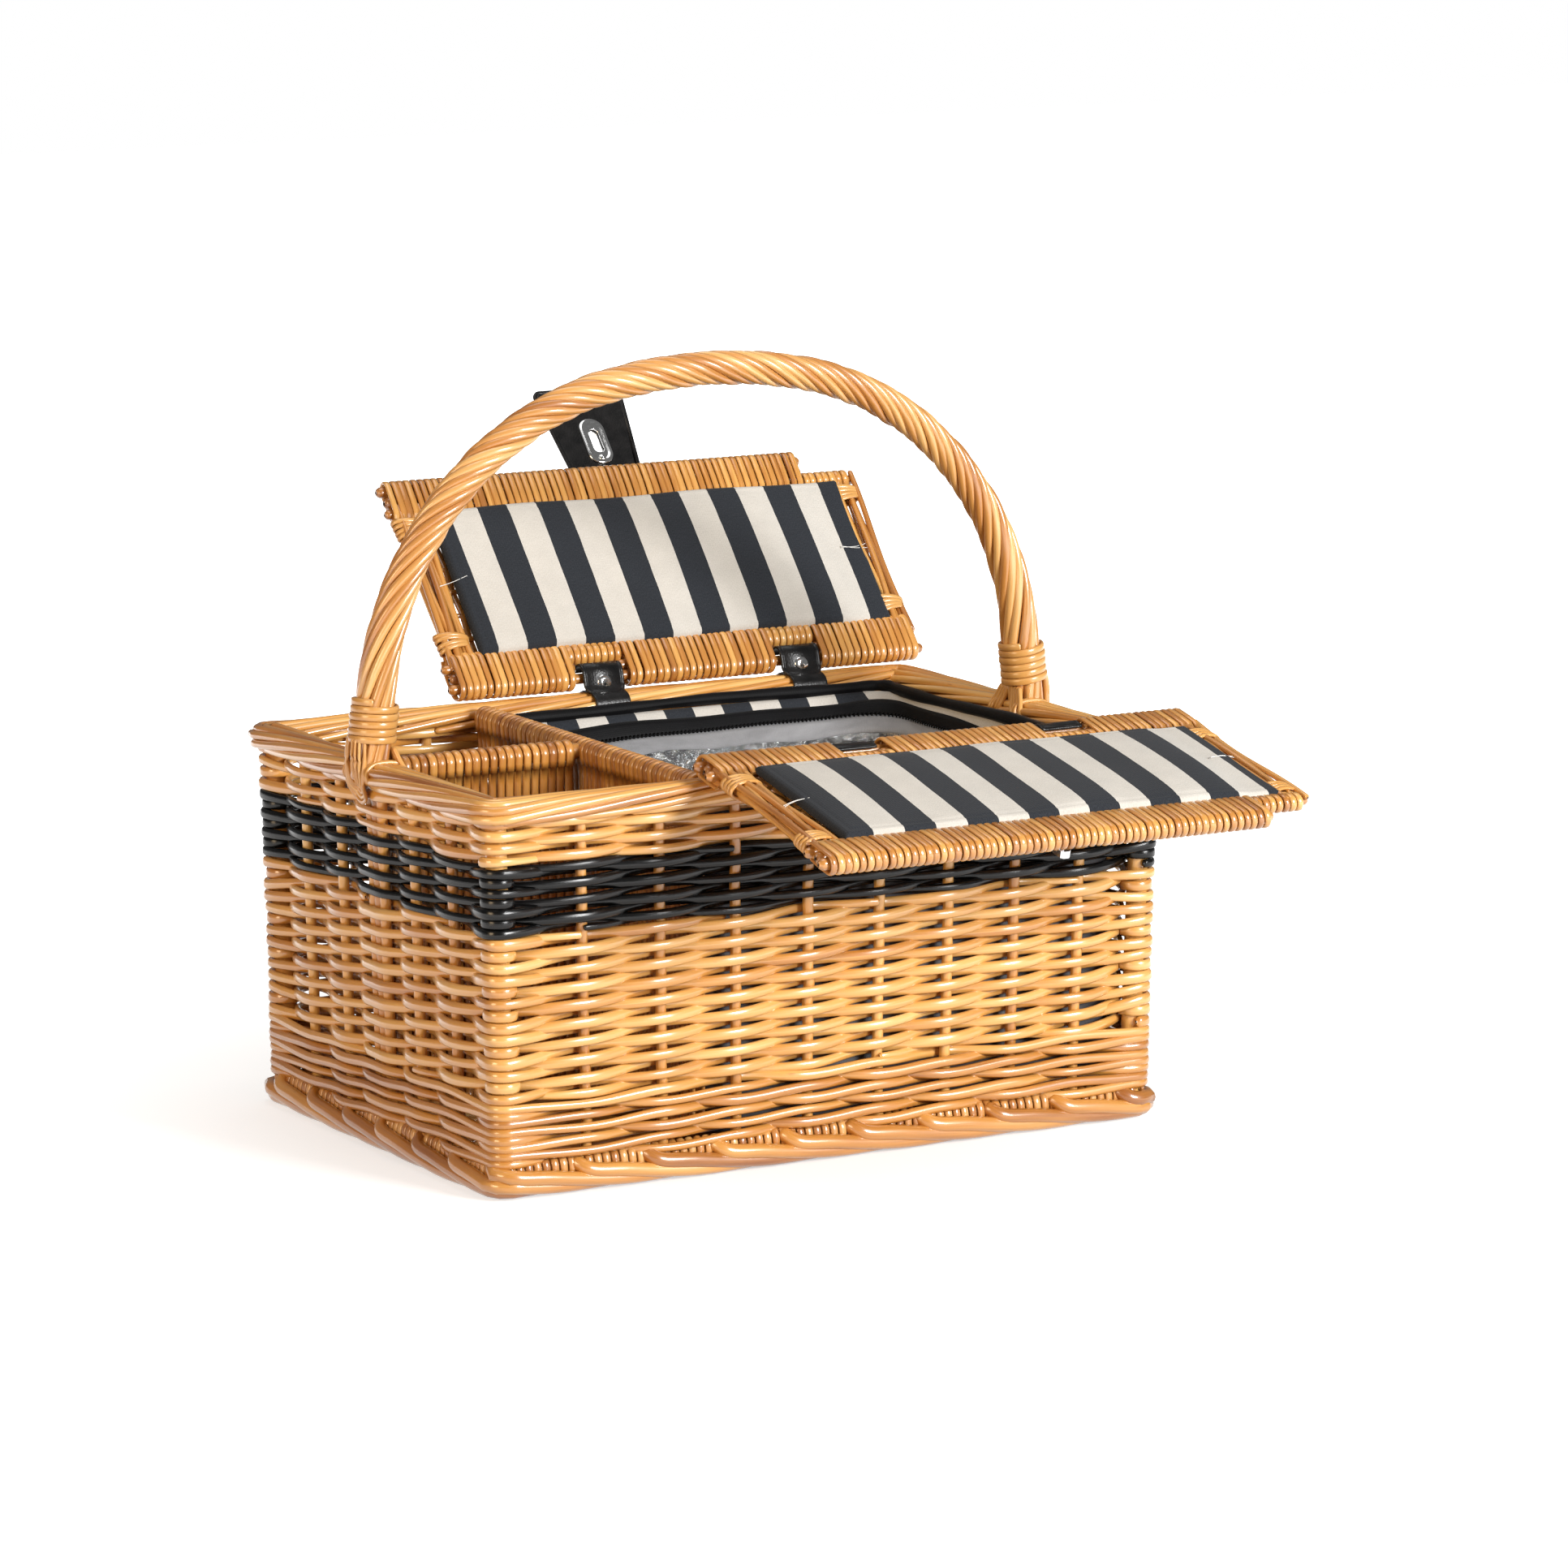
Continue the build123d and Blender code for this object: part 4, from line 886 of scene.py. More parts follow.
def build_handle():
    line = handle_curve()
    run = path_run(line)
    even = np.linspace(0, run[-1], 300)
    line = along_path(even, run, line)
    tangent = unit(np.gradient(line, axis=0))
    across = np.array([0, 1.0, 0])
    normal = np.cross(tangent, across)
    from_end = np.minimum(even, even[-1] - even)
    lay = np.radians(9 + 19 * np.clip((from_end - 25) / 130, 0, 1))
    grow = 1 + 0.17 * (1 - np.clip((from_end - 25) / 120, 0, 1))
    twist = np.concatenate([[0], np.cumsum(np.tan(lay[:-1]) / 8.0 * np.diff(even))])
    bundle = Bundle()
    rods = 10
    for k in range(rods):
        angle = twist + 2 * np.pi * k / rods + 0.07 * np.sin(even / 60 + k * 2.1)
        reach = 7.2 * grow + 0.25 * np.sin(even / 45 + 2.3 * k)
        path = line + reach[:, None] * (np.cos(angle)[:, None] * across + np.sin(angle)[:, None] * normal)
        outward = unit(path - line)
        size = 2.36 * grow + 0.13 * np.sin(even / 80 + 1.7 * k) + rng.uniform(-0.1, 0.1)
        bundle.tube(path, size, size * 0.98, up=outward, sides=14)
    bundle.tube(line, 5.9 * grow, 5.9 * grow, up=(0, 1, 0), sides=12, tone=0.1)
    bundle.build("handle_twisted_rods", WILLOW_PALE, "basket", ["handle_bow"])


def build_bindings():
    cane = Bundle()
    for sign in (-1, 1):
        lean = np.array([-sign * math.sin(HANDLE_TILT), 0, math.cos(HANDLE_TILT)])
        foot = np.array([sign * HANDLE_X, 0, RIM_TOP]) + lean * BINDING_START
        x_way = np.array([0, 1.0, 0])
        y_way = np.cross(lean, x_way)
        t = np.linspace(0, 2 * np.pi * BINDING_TURNS, int(BINDING_TURNS * 40))
        reach = BINDING_REACH + 0.2 * np.sin(t * 0.37)
        rise = BINDING_PITCH * t / (2 * np.pi)
        way = np.cos(t)[:, None] * x_way + np.sin(t)[:, None] * y_way
        path = foot + reach[:, None] * way + rise[:, None] * lean
        cane.tube(path, 1.15, 2.0, up=lean, sides=12, square=2.8, tone=0.5)
    cane.build("handle_cane_bindings", CANE, "basket", ["handle_bindings"])


def build_lashings():
    ties = Bundle()
    for sign in (-1, 1):
        for side in (-1, 1):
            for k in range(2):
                a = full_turn(44)
                y = side * (11.4 + 2.3 * k - 1.8 * np.sin(a))
                bend = signed_power(np.cos(a), 0.75)
                path = np.stack([sign * (205.3 + 12.3 * bend), y, 210.2 + 6.5 * np.sin(a)], 1)
                ties.tube(path, 1.2, 0.9, up=(0, 1, 0), sides=8, closed=True, tone=rng.uniform(0.2, 0.8))
        for k in range(4):
            y = 9.6 - 2.1 * k
            edge = HANDLE_X + math.sqrt(BINDING_REACH**2 - y**2)
            outer = [
                (edge - 0.9, y * 0.85, 229.0), (edge, y, 217.0), (217.6, y * 0.95, 205.0),
                (214.2, y * 0.62, 197.0 + 2.4 * k), (213.6, 0.0, 194.0 + 2.6 * k),
            ]
            half = np.array([(sign * x, y, z) for x, y, z in outer])
            sling = np.vstack([half, half[-2::-1] * (1, -1, 1)])
            ties.tube(smooth_path(sling, 2.0), 0.9, 1.45, up=(0, 0.02, 1), sides=8, square=2.4)
            for side in (-1, 1):
                inner = [
                    (198.6, side * (2.5 + 2.4 * k), 223.0), (197.0, side * (4.5 + 2.9 * k), 217.0),
                    (195.0, side * (6.5 + 3.3 * k), 211.0), (195.8, side * (8.0 + 3.5 * k), 204.0),
                ]
                path = smooth_path([(sign * x, y, z) for x, y, z in inner], 2.0)
                ties.tube(path, 1.4, 1.4, up=(1, 0, 0), sides=8, tone=rng.uniform(0.3, 0.9))
    ties.build("rim_cane_lashings", CANE, "basket", ["rim_lashings"])


# Lids

HOLD = {"front": (-1, FRONT_ANGLE), "back": (1, BACK_ANGLE)}
# Each rod's share across the bundle at the hinge and at the free edge, and its height
SIDE_RODS = (
    (0.05, 0.25, -3.4), (0.3, 0.0, 0.8), (0.45, 0.7, -3.0), (0.68, 0.42, 1.4),
    (0.95, 0.98, -2.6), (0.15, 0.85, 2.6), (0.8, 0.84, -0.9), (0.55, 0.15, -1.4),
)


def lid_points(side, x, u, w):
    """Points from lid coordinates: along the hinge, out from it, and from mid-thickness to the outer face."""
    x, u, w = np.broadcast_arrays(np.asarray(x, float), np.asarray(u, float), np.asarray(w, float))
    sign, angle = HOLD[side]
    c, s = math.cos(angle), math.sin(angle)
    return np.stack([x, sign * (HINGE_Y - u * c + w * s), HINGE_Z + u * s + w * c], -1)


def lid_ways(side):
    """Unit vectors out from the hinge and toward the outer face."""
    origin = lid_points(side, 0, 0, 0)
    return lid_points(side, 0, 1, 0) - origin, lid_points(side, 0, 0, 1) - origin


def band_profile(inner, nose, radius, start):
    """Section of a wrap as (u, w): from the outer face round the nose to the inner face."""
    way = 1 if nose > inner else -1
    centre = nose - way * radius
    angle = np.linspace(np.pi / 2, -np.pi / 2, 9)
    arc = np.stack([centre + way * radius * np.cos(angle), radius * np.sin(angle)], 1)
    flat = (inner + centre) / 2
    lead = np.array([(inner - way * 1.5, start), (inner + way * 2.5, radius * 0.94), (flat, radius)])
    return np.vstack([lead, arc, lead[::-1] * (1, -1)])


def wrap(bundle, side, x, profile, width, slant, thick=1.0, tone=None):
    count = len(profile)
    path = lid_points(side, x + slant * np.linspace(-0.5, 0.5, count), profile[:, 0], profile[:, 1])
    bundle.tube(path, thick, width, up=(1, 0, 0), sides=10, square=2.3, tone=tone, tips=False)


def build_lid_weave(side):
    bundle = Bundle()
    pitch = 4.4
    hinge = band_profile(HINGE_BAND, -6.0, 5.7, 3.0)
    hinge_short = band_profile(HINGE_BAND, 9.9, 4.9, 3.0)
    free = band_profile(FREE_BAND, LID_REACH - 0.9, 5.2, 3.0)
    free_short = band_profile(FREE_BAND, NOTCH_U - 0.9, 3.9, 2.6)
    seated = free.copy()
    under = np.abs(seated[:, 0] - LOCK_U) < LOCK_HALF_DEPTH + 2
    seated[under, 1] = np.minimum(seated[under, 1], LOCK_FLOOR - 1.25)
    for x in np.arange(LID_LEFT + 2.4, LID_RIGHT - 2.0, pitch):
        x = x + rng.uniform(-0.3, 0.3)
        width = 2.0 * rng.uniform(0.9, 1.06)
        slant = 2.2 + rng.uniform(-0.7, 0.7)
        notched = min(abs(x - c) for c in STRAP_CENTRES) < STRAP_NOTCH_HALF + 2
        if notched:
            wrap(bundle, side, x, hinge_short, width * 1.05, 0.6, 1.25, rng.uniform(0.2, 0.7))
        else:
            wrap(bundle, side, x, hinge, width, slant, tone=rng.uniform(0.1, 0.6))
        if side == "front" and abs(x - LID_CENTRE) < LOCK_HALF_LENGTH + 2.3:
            wrap(bundle, side, x, seated, width, 0, tone=rng.uniform(0.1, 0.6))
        elif x < NOTCH_X - 2:
            wrap(bundle, side, x, free, width, -slant, tone=rng.uniform(0.1, 0.6))
        else:
            wrap(bundle, side, x, free_short, width, -0.8, 1.1, rng.uniform(0.15, 0.6))
    ribs = (34, 50, 66, 82, 98, 112)
    for row, x in enumerate(np.arange(LID_LEFT + 18, LID_RIGHT - 16, pitch)):
        u = np.linspace(17, 121, 40)
        nodes = [u[0], *ribs, u[-1]]
        swing = [2.0] + [2.6 if (k + row) % 2 else 0.6 for k in range(len(ribs))] + [2.0]
        w = np.interp(u, nodes, swing)
        path = lid_points(side, x + rng.uniform(-0.2, 0.2), u, w)
        bundle.tube(path, 0.85, 2.2, up=(1, 0, 0), sides=8, square=2.4, tips=False)
    for u in ribs:
        x = np.linspace(LID_LEFT + 12, LID_RIGHT - 12, 60)
        path = lid_points(side, x, u + 0.4 * np.sin(x / 23 + u), 1.4)
        bundle.tube(path, 1.5, 1.5, up=(0, 0, 1), sides=8)
    bundle.build(f"{side}_lid_wrapped_weave", WILLOW, f"{side}_lid", [f"{side}_lid_weave"])


def build_lid_rods(side):
    bundle = Bundle()
    _, up = lid_ways(side)
    rods = ((0, 3.1, LID_RIGHT), (13.5, 3.0, LID_RIGHT), (121, 2.9, LID_RIGHT), (136.6, 3.3, NOTCH_X))
    for u, radius, x_end in rods:
        x = np.linspace(LID_LEFT - 1.2, x_end - 0.4, 20)
        bundle.tube(lid_points(side, x, u, 0), radius, radius, up=up, sides=12, tone=0.12)
    bounds = [LID_LEFT + 2]
    for centre in STRAP_CENTRES:
        bounds += [centre - STRAP_NOTCH_HALF - 3, centre + STRAP_NOTCH_HALF + 3]
    bounds.append(LID_RIGHT - 3)
    for start, end in zip(bounds[::2], bounds[1::2]):
        bundle.tube(lid_points(side, np.linspace(start, end, 12), 6.7, 0), 3.6, 3.6, up=up, sides=10, tone=0)
    x = np.linspace(LID_LEFT + 2, NOTCH_X - 3, 20)
    bundle.tube(lid_points(side, x, 128.8, 0), 4.0, 4.0, up=up, sides=10, tone=0)
    for left, right in ((LID_LEFT + 1, LID_LEFT + 17), (LID_RIGHT - 17, LID_RIGHT - 1)):
        for k, (near, far, rest) in enumerate(SIDE_RODS):
            u = np.linspace(13, 124, 30)
            share = near + (far - near) * (u - u[0]) / (u[-1] - u[0])
            x = left + (right - left) * share + 0.8 * np.sin(u / 21 + 2.1 * k)
            w = rest + 0.8 * np.sin(u / 19 + 1.3 * k)
            size = np.linspace(2.1, 1.6, 30)
            bundle.tube(lid_points(side, x, u, w), size, size, up=up, sides=10, tone=rng.uniform(0.0, 0.6))
    nodes = [f"{side}_lid_{part}" for part in ("hinge_rod", "frame_rods", "side_rods")]
    bundle.build(f"{side}_lid_edge_rods", WILLOW, f"{side}_lid", nodes)


def build_lid_ties(side):
    out, _ = lid_ways(side)
    ties = Bundle()
    for middle in (LID_LEFT + 9, LID_RIGHT - 9):
        for base in (27, 106):
            for k in range(4):
                a = full_turn(28)
                u = base + 2.5 * k + (1.6 - 1.0 * k) * np.cos(a) + rng.uniform(-0.4, 0.4)
                path = lid_points(side, middle + (9.2 + 0.3 * k) * np.cos(a), u, 5.0 * np.sin(a))
                tone = rng.uniform(0.2, 0.9)
                ties.tube(path, 1.0, 1.45, up=out, sides=8, closed=True, square=2.4, tone=tone)
    ties.build(f"{side}_lid_cane_ties", CANE, f"{side}_lid", [f"{side}_lid_corner_ties"])


def build_lid_tacks(side):
    _, up = lid_ways(side)
    tacks = Bundle()
    for x, way in ((LID_LEFT + 17, 1), (LID_RIGHT - 17, -1)):
        for k in range(2):
            lean = rng.uniform(-7, 7)
            nodes = [
                lid_points(side, x - way * 7, 70 + lean, -4.0),
                lid_points(side, x + way * 2, 69 + lean / 3, -6.5),
                lid_points(side, x + way * 12, 70 - lean / 4, -8.0),
            ]
            tacks.tube(smooth_path(nodes, 1.5), 0.18, 0.18, up=up, sides=6)
    tacks.build(f"{side}_lid_thread_tacks", THREAD, f"{side}_lid")


def edge_spaced(low, high, step):
    """Positions across a cloth, close together at its edges."""
    fine = np.array([0, 0.12, 0.5, 1.1, 2.0, 3.2, 4.4, 5.4, 6.6])
    inner = np.linspace(low + 8.5, high - 8.5, int((high - low - 17) / step))
    return np.concatenate([low + fine, inner, (high - fine)[::-1]])


def build_lining(side):
    low_x, high_x, low_u, high_u = -62.5, 210.5, 19.5, 119.0
    x = edge_spaced(low_x, high_x, 3.0)
    u = edge_spaced(low_u, high_u, 3.0)
    gx, gu = np.meshgrid(x, u, indexing="ij")
    rim = np.minimum.reduce([gx - low_x, high_x - gx, gu - low_u, high_u - gu])
    ex = 2 * (gx - low_x) / (high_x - low_x) - 1
    eu = 2 * (gu - low_u) / (high_u - low_u) - 1
    hem = HEM * np.sqrt(1 - (1 - np.clip(rim, 0, HEM) / HEM) ** 2)
    crown = 2.0 * (1 - np.abs(ex) ** 5) * (1 - np.abs(eu) ** 3)
    room = np.interp(gx, (178, 193), (1.0, 0.62))
    fold = -0.4 * np.exp(-(((rim - 5.0) / 0.9) ** 2))
    phase = 0.0 if side == "front" else 1.7
    ripple = 0.35 * np.sin(gx / 11 + 0.5 * np.sin(gu / 17) + phase) * np.clip(rim / 8, 0, 1)
    ripple += 0.5 * np.sin(gx / 39 + gu / 23 + phase) * np.clip(rim / 12, 0, 1)
    sway = 0.7 * np.sin(gx / 19 + phase) * np.clip(1 - rim / 10, 0, 1)
    top = -(PAD_BACK + (hem + crown + fold + ripple) * room)
    flip = side == "back"
    bundle = Bundle()
    first_stripe = 1.2 if side == "front" else 7.4
    cloth = np.stack([gx - low_x + first_stripe, gu - low_u], 2)
    bundle.surface(lid_points(side, gx, gu + sway, top), uv_grid=cloth, flip=flip)
    bundle.surface(lid_points(side, gx, gu + sway, np.full_like(gx, -PAD_BACK)), uv_grid=cloth, flip=not flip)
    body = f"{side}_lid"
    pad = bundle.build(f"{body}_striped_pad", STRIPES, body, [f"{body}_lining"])


# Leather and metal


def outline_plate(bundle, outline, place, levels, hole=None, flip=False):
    """A plate from a flat outline: levels are (inset, height) rings, then a flat face or a hole."""
    p = np.asarray(outline, float)
    before, after = np.roll(p, 1, 0), np.roll(p, -1, 0)
    tangent = unit(after - before)
    inward = np.stack([-tangent[:, 1], tangent[:, 0]], 1)
    rings = [place(p + inward * inset, height) for inset, height in levels]
    if hole is not None:
        edge = np.asarray(hole, float)
        for (inset, height), shares in ((levels[-1], (0.1, 0.5, 0.9, 1)), (levels[0], (1, 0.9, 0.5, 0.1))):
            start = p + inward * inset
            rings += [place(start + (edge - start) * share, height) for share in shares]
        rings.append(rings[0])
    grid = np.stack(rings)
    grid = np.concatenate([grid, grid[:, :1]], 1)
    bundle.surface(grid, flip=flip)
    if hole is None:
        for ring in (0, len(rings) - 1):
            bundle.close(bundle.first + ring * (len(p) + 1), len(p), turned=(ring == 0) == flip)


def rounded_outline(points, radius, count=6):
    """Closed outline through the corners with each one rounded, counter-clockwise."""
    p = np.asarray(points, float)
    out = []
    for k in range(len(p)):
        a, b, c = p[k - 1], p[k], p[(k + 1) % len(p)]
        r = radius[k] if np.ndim(radius) else radius
        one, two = unit(a - b), unit(c - b)
        half = math.acos(float(np.clip(one @ two, -1, 1))) / 2
        reach = r / math.tan(half)
        start, end = b + one * reach, b + two * reach
        middle = b + unit(one + two) * (r / math.sin(half))
        first = math.atan2(*(start - middle)[::-1])
        sweep = math.atan2(*(end - middle)[::-1]) - first
        sweep = (sweep + math.pi) % (2 * math.pi) - math.pi
        angle = first + sweep * np.linspace(0, 1, count)
        out.append(middle + r * np.stack([np.cos(angle), np.sin(angle)], 1))
    return np.vstack(out)


def dome(bundle, centre, normal, radius, height):
    """A rivet head."""
    t = np.linspace(0, 1, 9)
    size = radius * np.sqrt(np.clip(1 - t**2.2, 0.0004, 1))
    path = np.asarray(centre) + np.outer(t * height, np.asarray(normal))
    bundle.tube(path, size, size, up=(1, 0, 0), sides=24, tips=False)


def fine_outline(outline, step):
    """The same closed outline with points no further apart than step."""
    out = []
    for a, b in zip(outline, np.roll(outline, -1, 0)):
        count = max(1, int(np.ceil(np.linalg.norm(b - a) / step)))
        out.append(a + (b - a) * np.linspace(0, 1, count, endpoint=False)[:, None])
    return np.vstack(out)


def strap_place(over, run, away, x, sign):
    """Puts a flat outline (across, along), and a height over it, on the path of a strap."""

    def place(flat, height):
        q = along_path(flat[:, 1], run, over) + unit(along_path(flat[:, 1], run, away)) * height
        return np.stack([x + flat[:, 0], sign * q[:, 0], q[:, 1]], 1)

    return place


def build_straps():
    """Each strap is a loop round the rim and a riveted tab that comes over the hinge rod."""
    metal = Bundle()
    middle = np.array([float(half_width(211.0)) + 0.6, 210.2])
    angle = full_turn(44)
    bend = np.stack([signed_power(np.cos(angle), 0.75), np.sin(angle)], 1)
    loop = middle + bend * (11.6, 6.9)
    levels = [(0.4, 0.0), (0, 0.4), (0, 1.1), (0.45, 1.5), (1.7, 1.55), (2.0, 1.2), (2.5, 1.2), (2.8, 1.55)]
    for name, sign, crest in (("front", -1, 0.55), ("back", 1, 1.0)):
        bundle = Bundle()
        arch = ((147.6, 5.8), (144.2, 7.2), (140.9, 5.4))
        rod_over = [(150.0, 226.0)] + [(y, HINGE_Z + rise * crest) for y, rise in arch]
        tab_down = [(138.9, 224.0), (138.0, 220.2), (135.6, 217.4), (132.2, 215.8), (129.6, 213.8)]
        over = smooth_path(rod_over + tab_down, 0.8)
        run = path_run(over)
        away = np.gradient(over, axis=0)
        away = unit(np.stack([away[:, 1], -away[:, 0]], 1))
        end = run[-1]
        corners = [(-TAB_HALF, 0), (TAB_HALF, 0), (TAB_HALF, end), (-TAB_HALF, end)]
        shape = fine_outline(rounded_outline(corners, (1, 1, 11.5, 11.5), 12), 1.4)
        shape = shape if len(shape) % 2 == 0 else np.vstack([shape, (shape[-1:] + shape[:1]) / 2])
        shape = np.roll(shape, -int(np.argmax((shape[:, 1] < 0.01) & (shape[:, 0] > 0))), 0)
        for x in STRAP_CENTRES:
            path = np.stack([np.full(len(loop), x), sign * loop[:, 0], loop[:, 1]], 1)
            bundle.tube(path, 0.75, 11.2, up=(1, 0, 0), sides=20, square=8, closed=True, tone=0.5)
            place = strap_place(over, run, away, x, sign)
            outline_plate(bundle, shape, place, levels, flip=sign > 0)
            spot = np.array([[0.0, end - 12.5]])
            low, high = place(spot, 1.3)[0], place(spot, 2.3)[0]
            dome(metal, low, unit(high - low), 4.4, 1.4)
        bundle.build(f"{name}_strap_leather", LEATHER, "basket", [f"{name}_hinge_straps"])
    metal.build("strap_rivet_heads", CHROME, "basket", ["hinge_strap_rivets"])


def build_hasp():
    tab = Bundle()

    def place(flat, height):
        return lid_points("back", flat[:, 0] + LID_CENTRE, flat[:, 1], np.broadcast_to(height, (len(flat),)))

    corners = [(-23, 142.6), (23, 142.6), (30, 205), (-30, 205)]
    shape = rounded_outline(corners, (1.5, 1.5, 5, 5), 15)
    middle = 166.5

    def upright(half_x, half_u, radius):
        low, high = middle - half_u, middle + half_u
        box = [(-half_x, low), (half_x, low), (half_x, high), (-half_x, high)]
        return rounded_outline(box, radius, 15)

    slot = upright(3.6, 8.4, 3.4)
    levels = [
        (2.9, 7.95), (2.6, 8.2), (2.1, 8.2), (1.8, 7.9), (0.5, 7.85), (0, 8.3), (0, 9.3), (0.5, 9.75),
        (1.8, 9.7), (2.1, 9.4), (2.6, 9.4), (2.9, 9.7),
    ]
    outline_plate(tab, shape, place, levels, hole=slot)
    x = np.linspace(LID_CENTRE - 22, LID_CENTRE + 22, 12)
    tab.tube(lid_points("back", x, 141.7, 8.8), 1.0, 1.0, up=(0, 0, 1), sides=10)
    tab.build("hasp_leather", LEATHER, "hasp", ["hasp_tab"])

    plates = Bundle()
    for face, sign in ((7.8, -1), (9.8, 1)):
        outer = upright(8.3, 16.2, 8.1)
        hole = upright(3.4, 8.2, 3.2)
        profile = ((0.1, 0.0), (0, 0.35), (0.5, 0.9), (1.6, 1.2), (2.8, 1.1), (3.4, 0.75))
        levels = [(-sign * inset, face + sign * rise) for inset, rise in profile]
        if sign > 0:
            outer, hole = outer[::-1], hole[::-1]
        outline_plate(plates, outer, place, levels, hole=hole)
        spot = place(np.array([[0.0, middle - 12.0]]), face + sign * 0.8)[0]
        dome(plates, spot, sign * lid_ways("back")[1], 2.2, 1.1)
    plates.build("hasp_chrome_plates", CHROME, "hasp", ["hasp_plates"])


# Cooler and dividers


def rounded_loop(low_x, high_x, half_y, radius):
    """Closed rounded rectangle in plan; the same count of points whatever its size."""
    left, right, top = low_x + radius, high_x - radius, half_y - radius
    arcs = []
    for x, y, start in ((right, -top, -90), (right, top, 0), (left, top, 90), (left, -top, 180)):
        angle = np.radians(start + np.linspace(0, 90, 12))
        arcs.append(np.stack([x + radius * np.cos(angle), y + radius * np.sin(angle)], 1))
    t = np.linspace(0, 1, 29, endpoint=False)[1:, None]
    out = []
    for arc, following in zip(arcs, arcs[1:] + arcs[:1]):
        out += [arc, arc[-1] + (following[0] - arc[-1]) * t]
    return np.vstack(out)


def inset_loop(inset, radius, right=1.0):
    return rounded_loop(COOLER_X[0] + inset, COOLER_X[1] - inset * right, COOLER_Y - inset, radius)


def ring_surface(bundle, loops, flip=False, by_plan=False):
    """Surface through closed loops of points, one after another."""
    grid = np.stack([np.vstack([loop, loop[:1]]) for loop in loops])
    bundle.surface(grid, flip=flip, uv_grid=grid[:, :, :2] if by_plan else None)


def at_height(loop, z):
    return np.column_stack([loop, np.broadcast_to(z, (len(loop),))])


def build_cooler():
    shell = Bundle()
    bulge = [(17.5, 3.5), (19, 1.2), (40, 0.6), (90, 0.0), (150, 0.2), (195, 0.6), (203, 1.0)]
    loops = [at_height(inset_loop(inset + 0.3, 14), z) for z, inset in bulge]
    ring_surface(shell, loops)
    bottom = [at_height(inset_loop(inset, max(14 - inset * 0.1, 2)), 17.4) for inset in (100, 60, 20, 3.8)]
    ring_surface(shell, bottom)
    pad = shell.build("cooler_cloth_walls", COOLER_CLOTH, "basket", ["cooler_shell"])

    lap = full_turn(len(inset_loop(0, 10)))
    sag = 0.8 * np.sin(5 * lap) + 0.6 * np.sin(11 * lap + 1)

    def rings(steps):
        return [at_height(inset_loop(inset, 13.5 + inset, 0.72), z + part * sag) for inset, z, part in steps]

    lift = 3.0 * np.cos(lap - 1.8)
    top = Bundle()
    steps = (
        (2.0, 204.6, 0), (6.0, 205.9, 0), (8.0, 204.6, 0.3),
        (10.5, 202.0, 0.8), (13.2, 199.0, 1), (14.0, 198.2, 1),
    )
    loops = rings(steps)
    ring_surface(top, loops, by_plan=True)
    ring_surface(top, [loop - np.array([0, 0, 1.6]) for loop in loops], flip=True, by_plan=True)
    panel = top.build("cooler_striped_top", STRIPES, "basket", ["cooler_top_panel"])

    zips = Bundle()
    steps = (
        (12.4, 199.4, 1), (12.8, 200.1, 1), (14.4, 197.8, 0.9),
        (16.4, 194.0, 0.7), (17.6, 191.8, 0.5), (17.6, 190.6, 0.5),
    )
    loops = rings(steps)
    for loop, share in zip(loops, (0.7, 0.7, 0.8, 0.9, 1, 1)):
        loop[:, 2] += share * lift
    ring_surface(zips, loops)
    lane = rings(((18.2, 192.2, 0.5),))[0]
    lane[:, 2] += lift
    closed = np.vstack([lane, lane[:1]])
    run = path_run(closed)
    s = np.arange(0, run[-1], 0.42)
    coil = along_path(s, run, closed)
    way = unit(coil - np.array([(COOLER_X[0] + COOLER_X[1]) / 2, 0, 193]))
    turn = 2 * np.pi * s / 2.6
    coil = coil + 1.1 * np.cos(turn)[:, None] * way + 0.9 * np.sin(turn)[:, None] * np.array([0, 0, 1])
    zips.tube(coil, 0.45, 0.45, sides=6, tips=False)
    zips.build("cooler_zip_tape", BLACK_TRIM, "basket", ["cooler_zip"])

    tape = Bundle()
    steps = (
        (16.8, 190.8, 0.5), (17.4, 191.6, 0.5), (21, 189.4, 1),
        (25, 186.6, 1.5), (28.2, 184.0, 1.6), (28.0, 182.8, 1.6),
    )
    loops = rings(steps)
    for loop in loops:
        loop[:, 2] += 1.1 * lift
    ring_surface(tape, loops)
    tape.build("cooler_grey_tape", GREY_TAPE, "basket", ["cooler_collar"])

    foil = Bundle()
    steps = (
        (27.8, 183.0, 1.6), (27.0, 178, 1.2), (26.0, 172, 0.6),
        (23.0, 162, 0.3), (17.0, 148, 0), (10.0, 130, 0),
    )
    loops = rings(steps)
    loops[0][:, 2] += 1.1 * lift
    loops += [at_height(inset_loop(6 + 1.5 * math.sin(z / 9), 20), z) for z in np.arange(118, 26, -8)]
    floor = (7, 14, 30, 60, 100, 107)
    loops += [at_height(inset_loop(inset, 18), 22.5 + 0.5 * math.sin(inset)) for inset in floor]
    ring_surface(foil, loops, flip=True)
    foil.build("cooler_crinkled_film", FOIL, "basket", ["cooler_foil"])

    piping = Bundle()
    loop = at_height(inset_loop(4.4, 11), 208.3 + 0.7 * np.sin(3 * lap + 0.4) + 0.5 * np.sin(8 * lap))
    size = 3.2 + 0.3 * np.sin(9 * lap) + 0.2 * np.sin(23 * lap)
    piping.tube(loop, size, size * 1.08, closed=True, sides=14)
    piping.build("cooler_soft_piping", BLACK_TRIM, "basket", ["cooler_piping"])


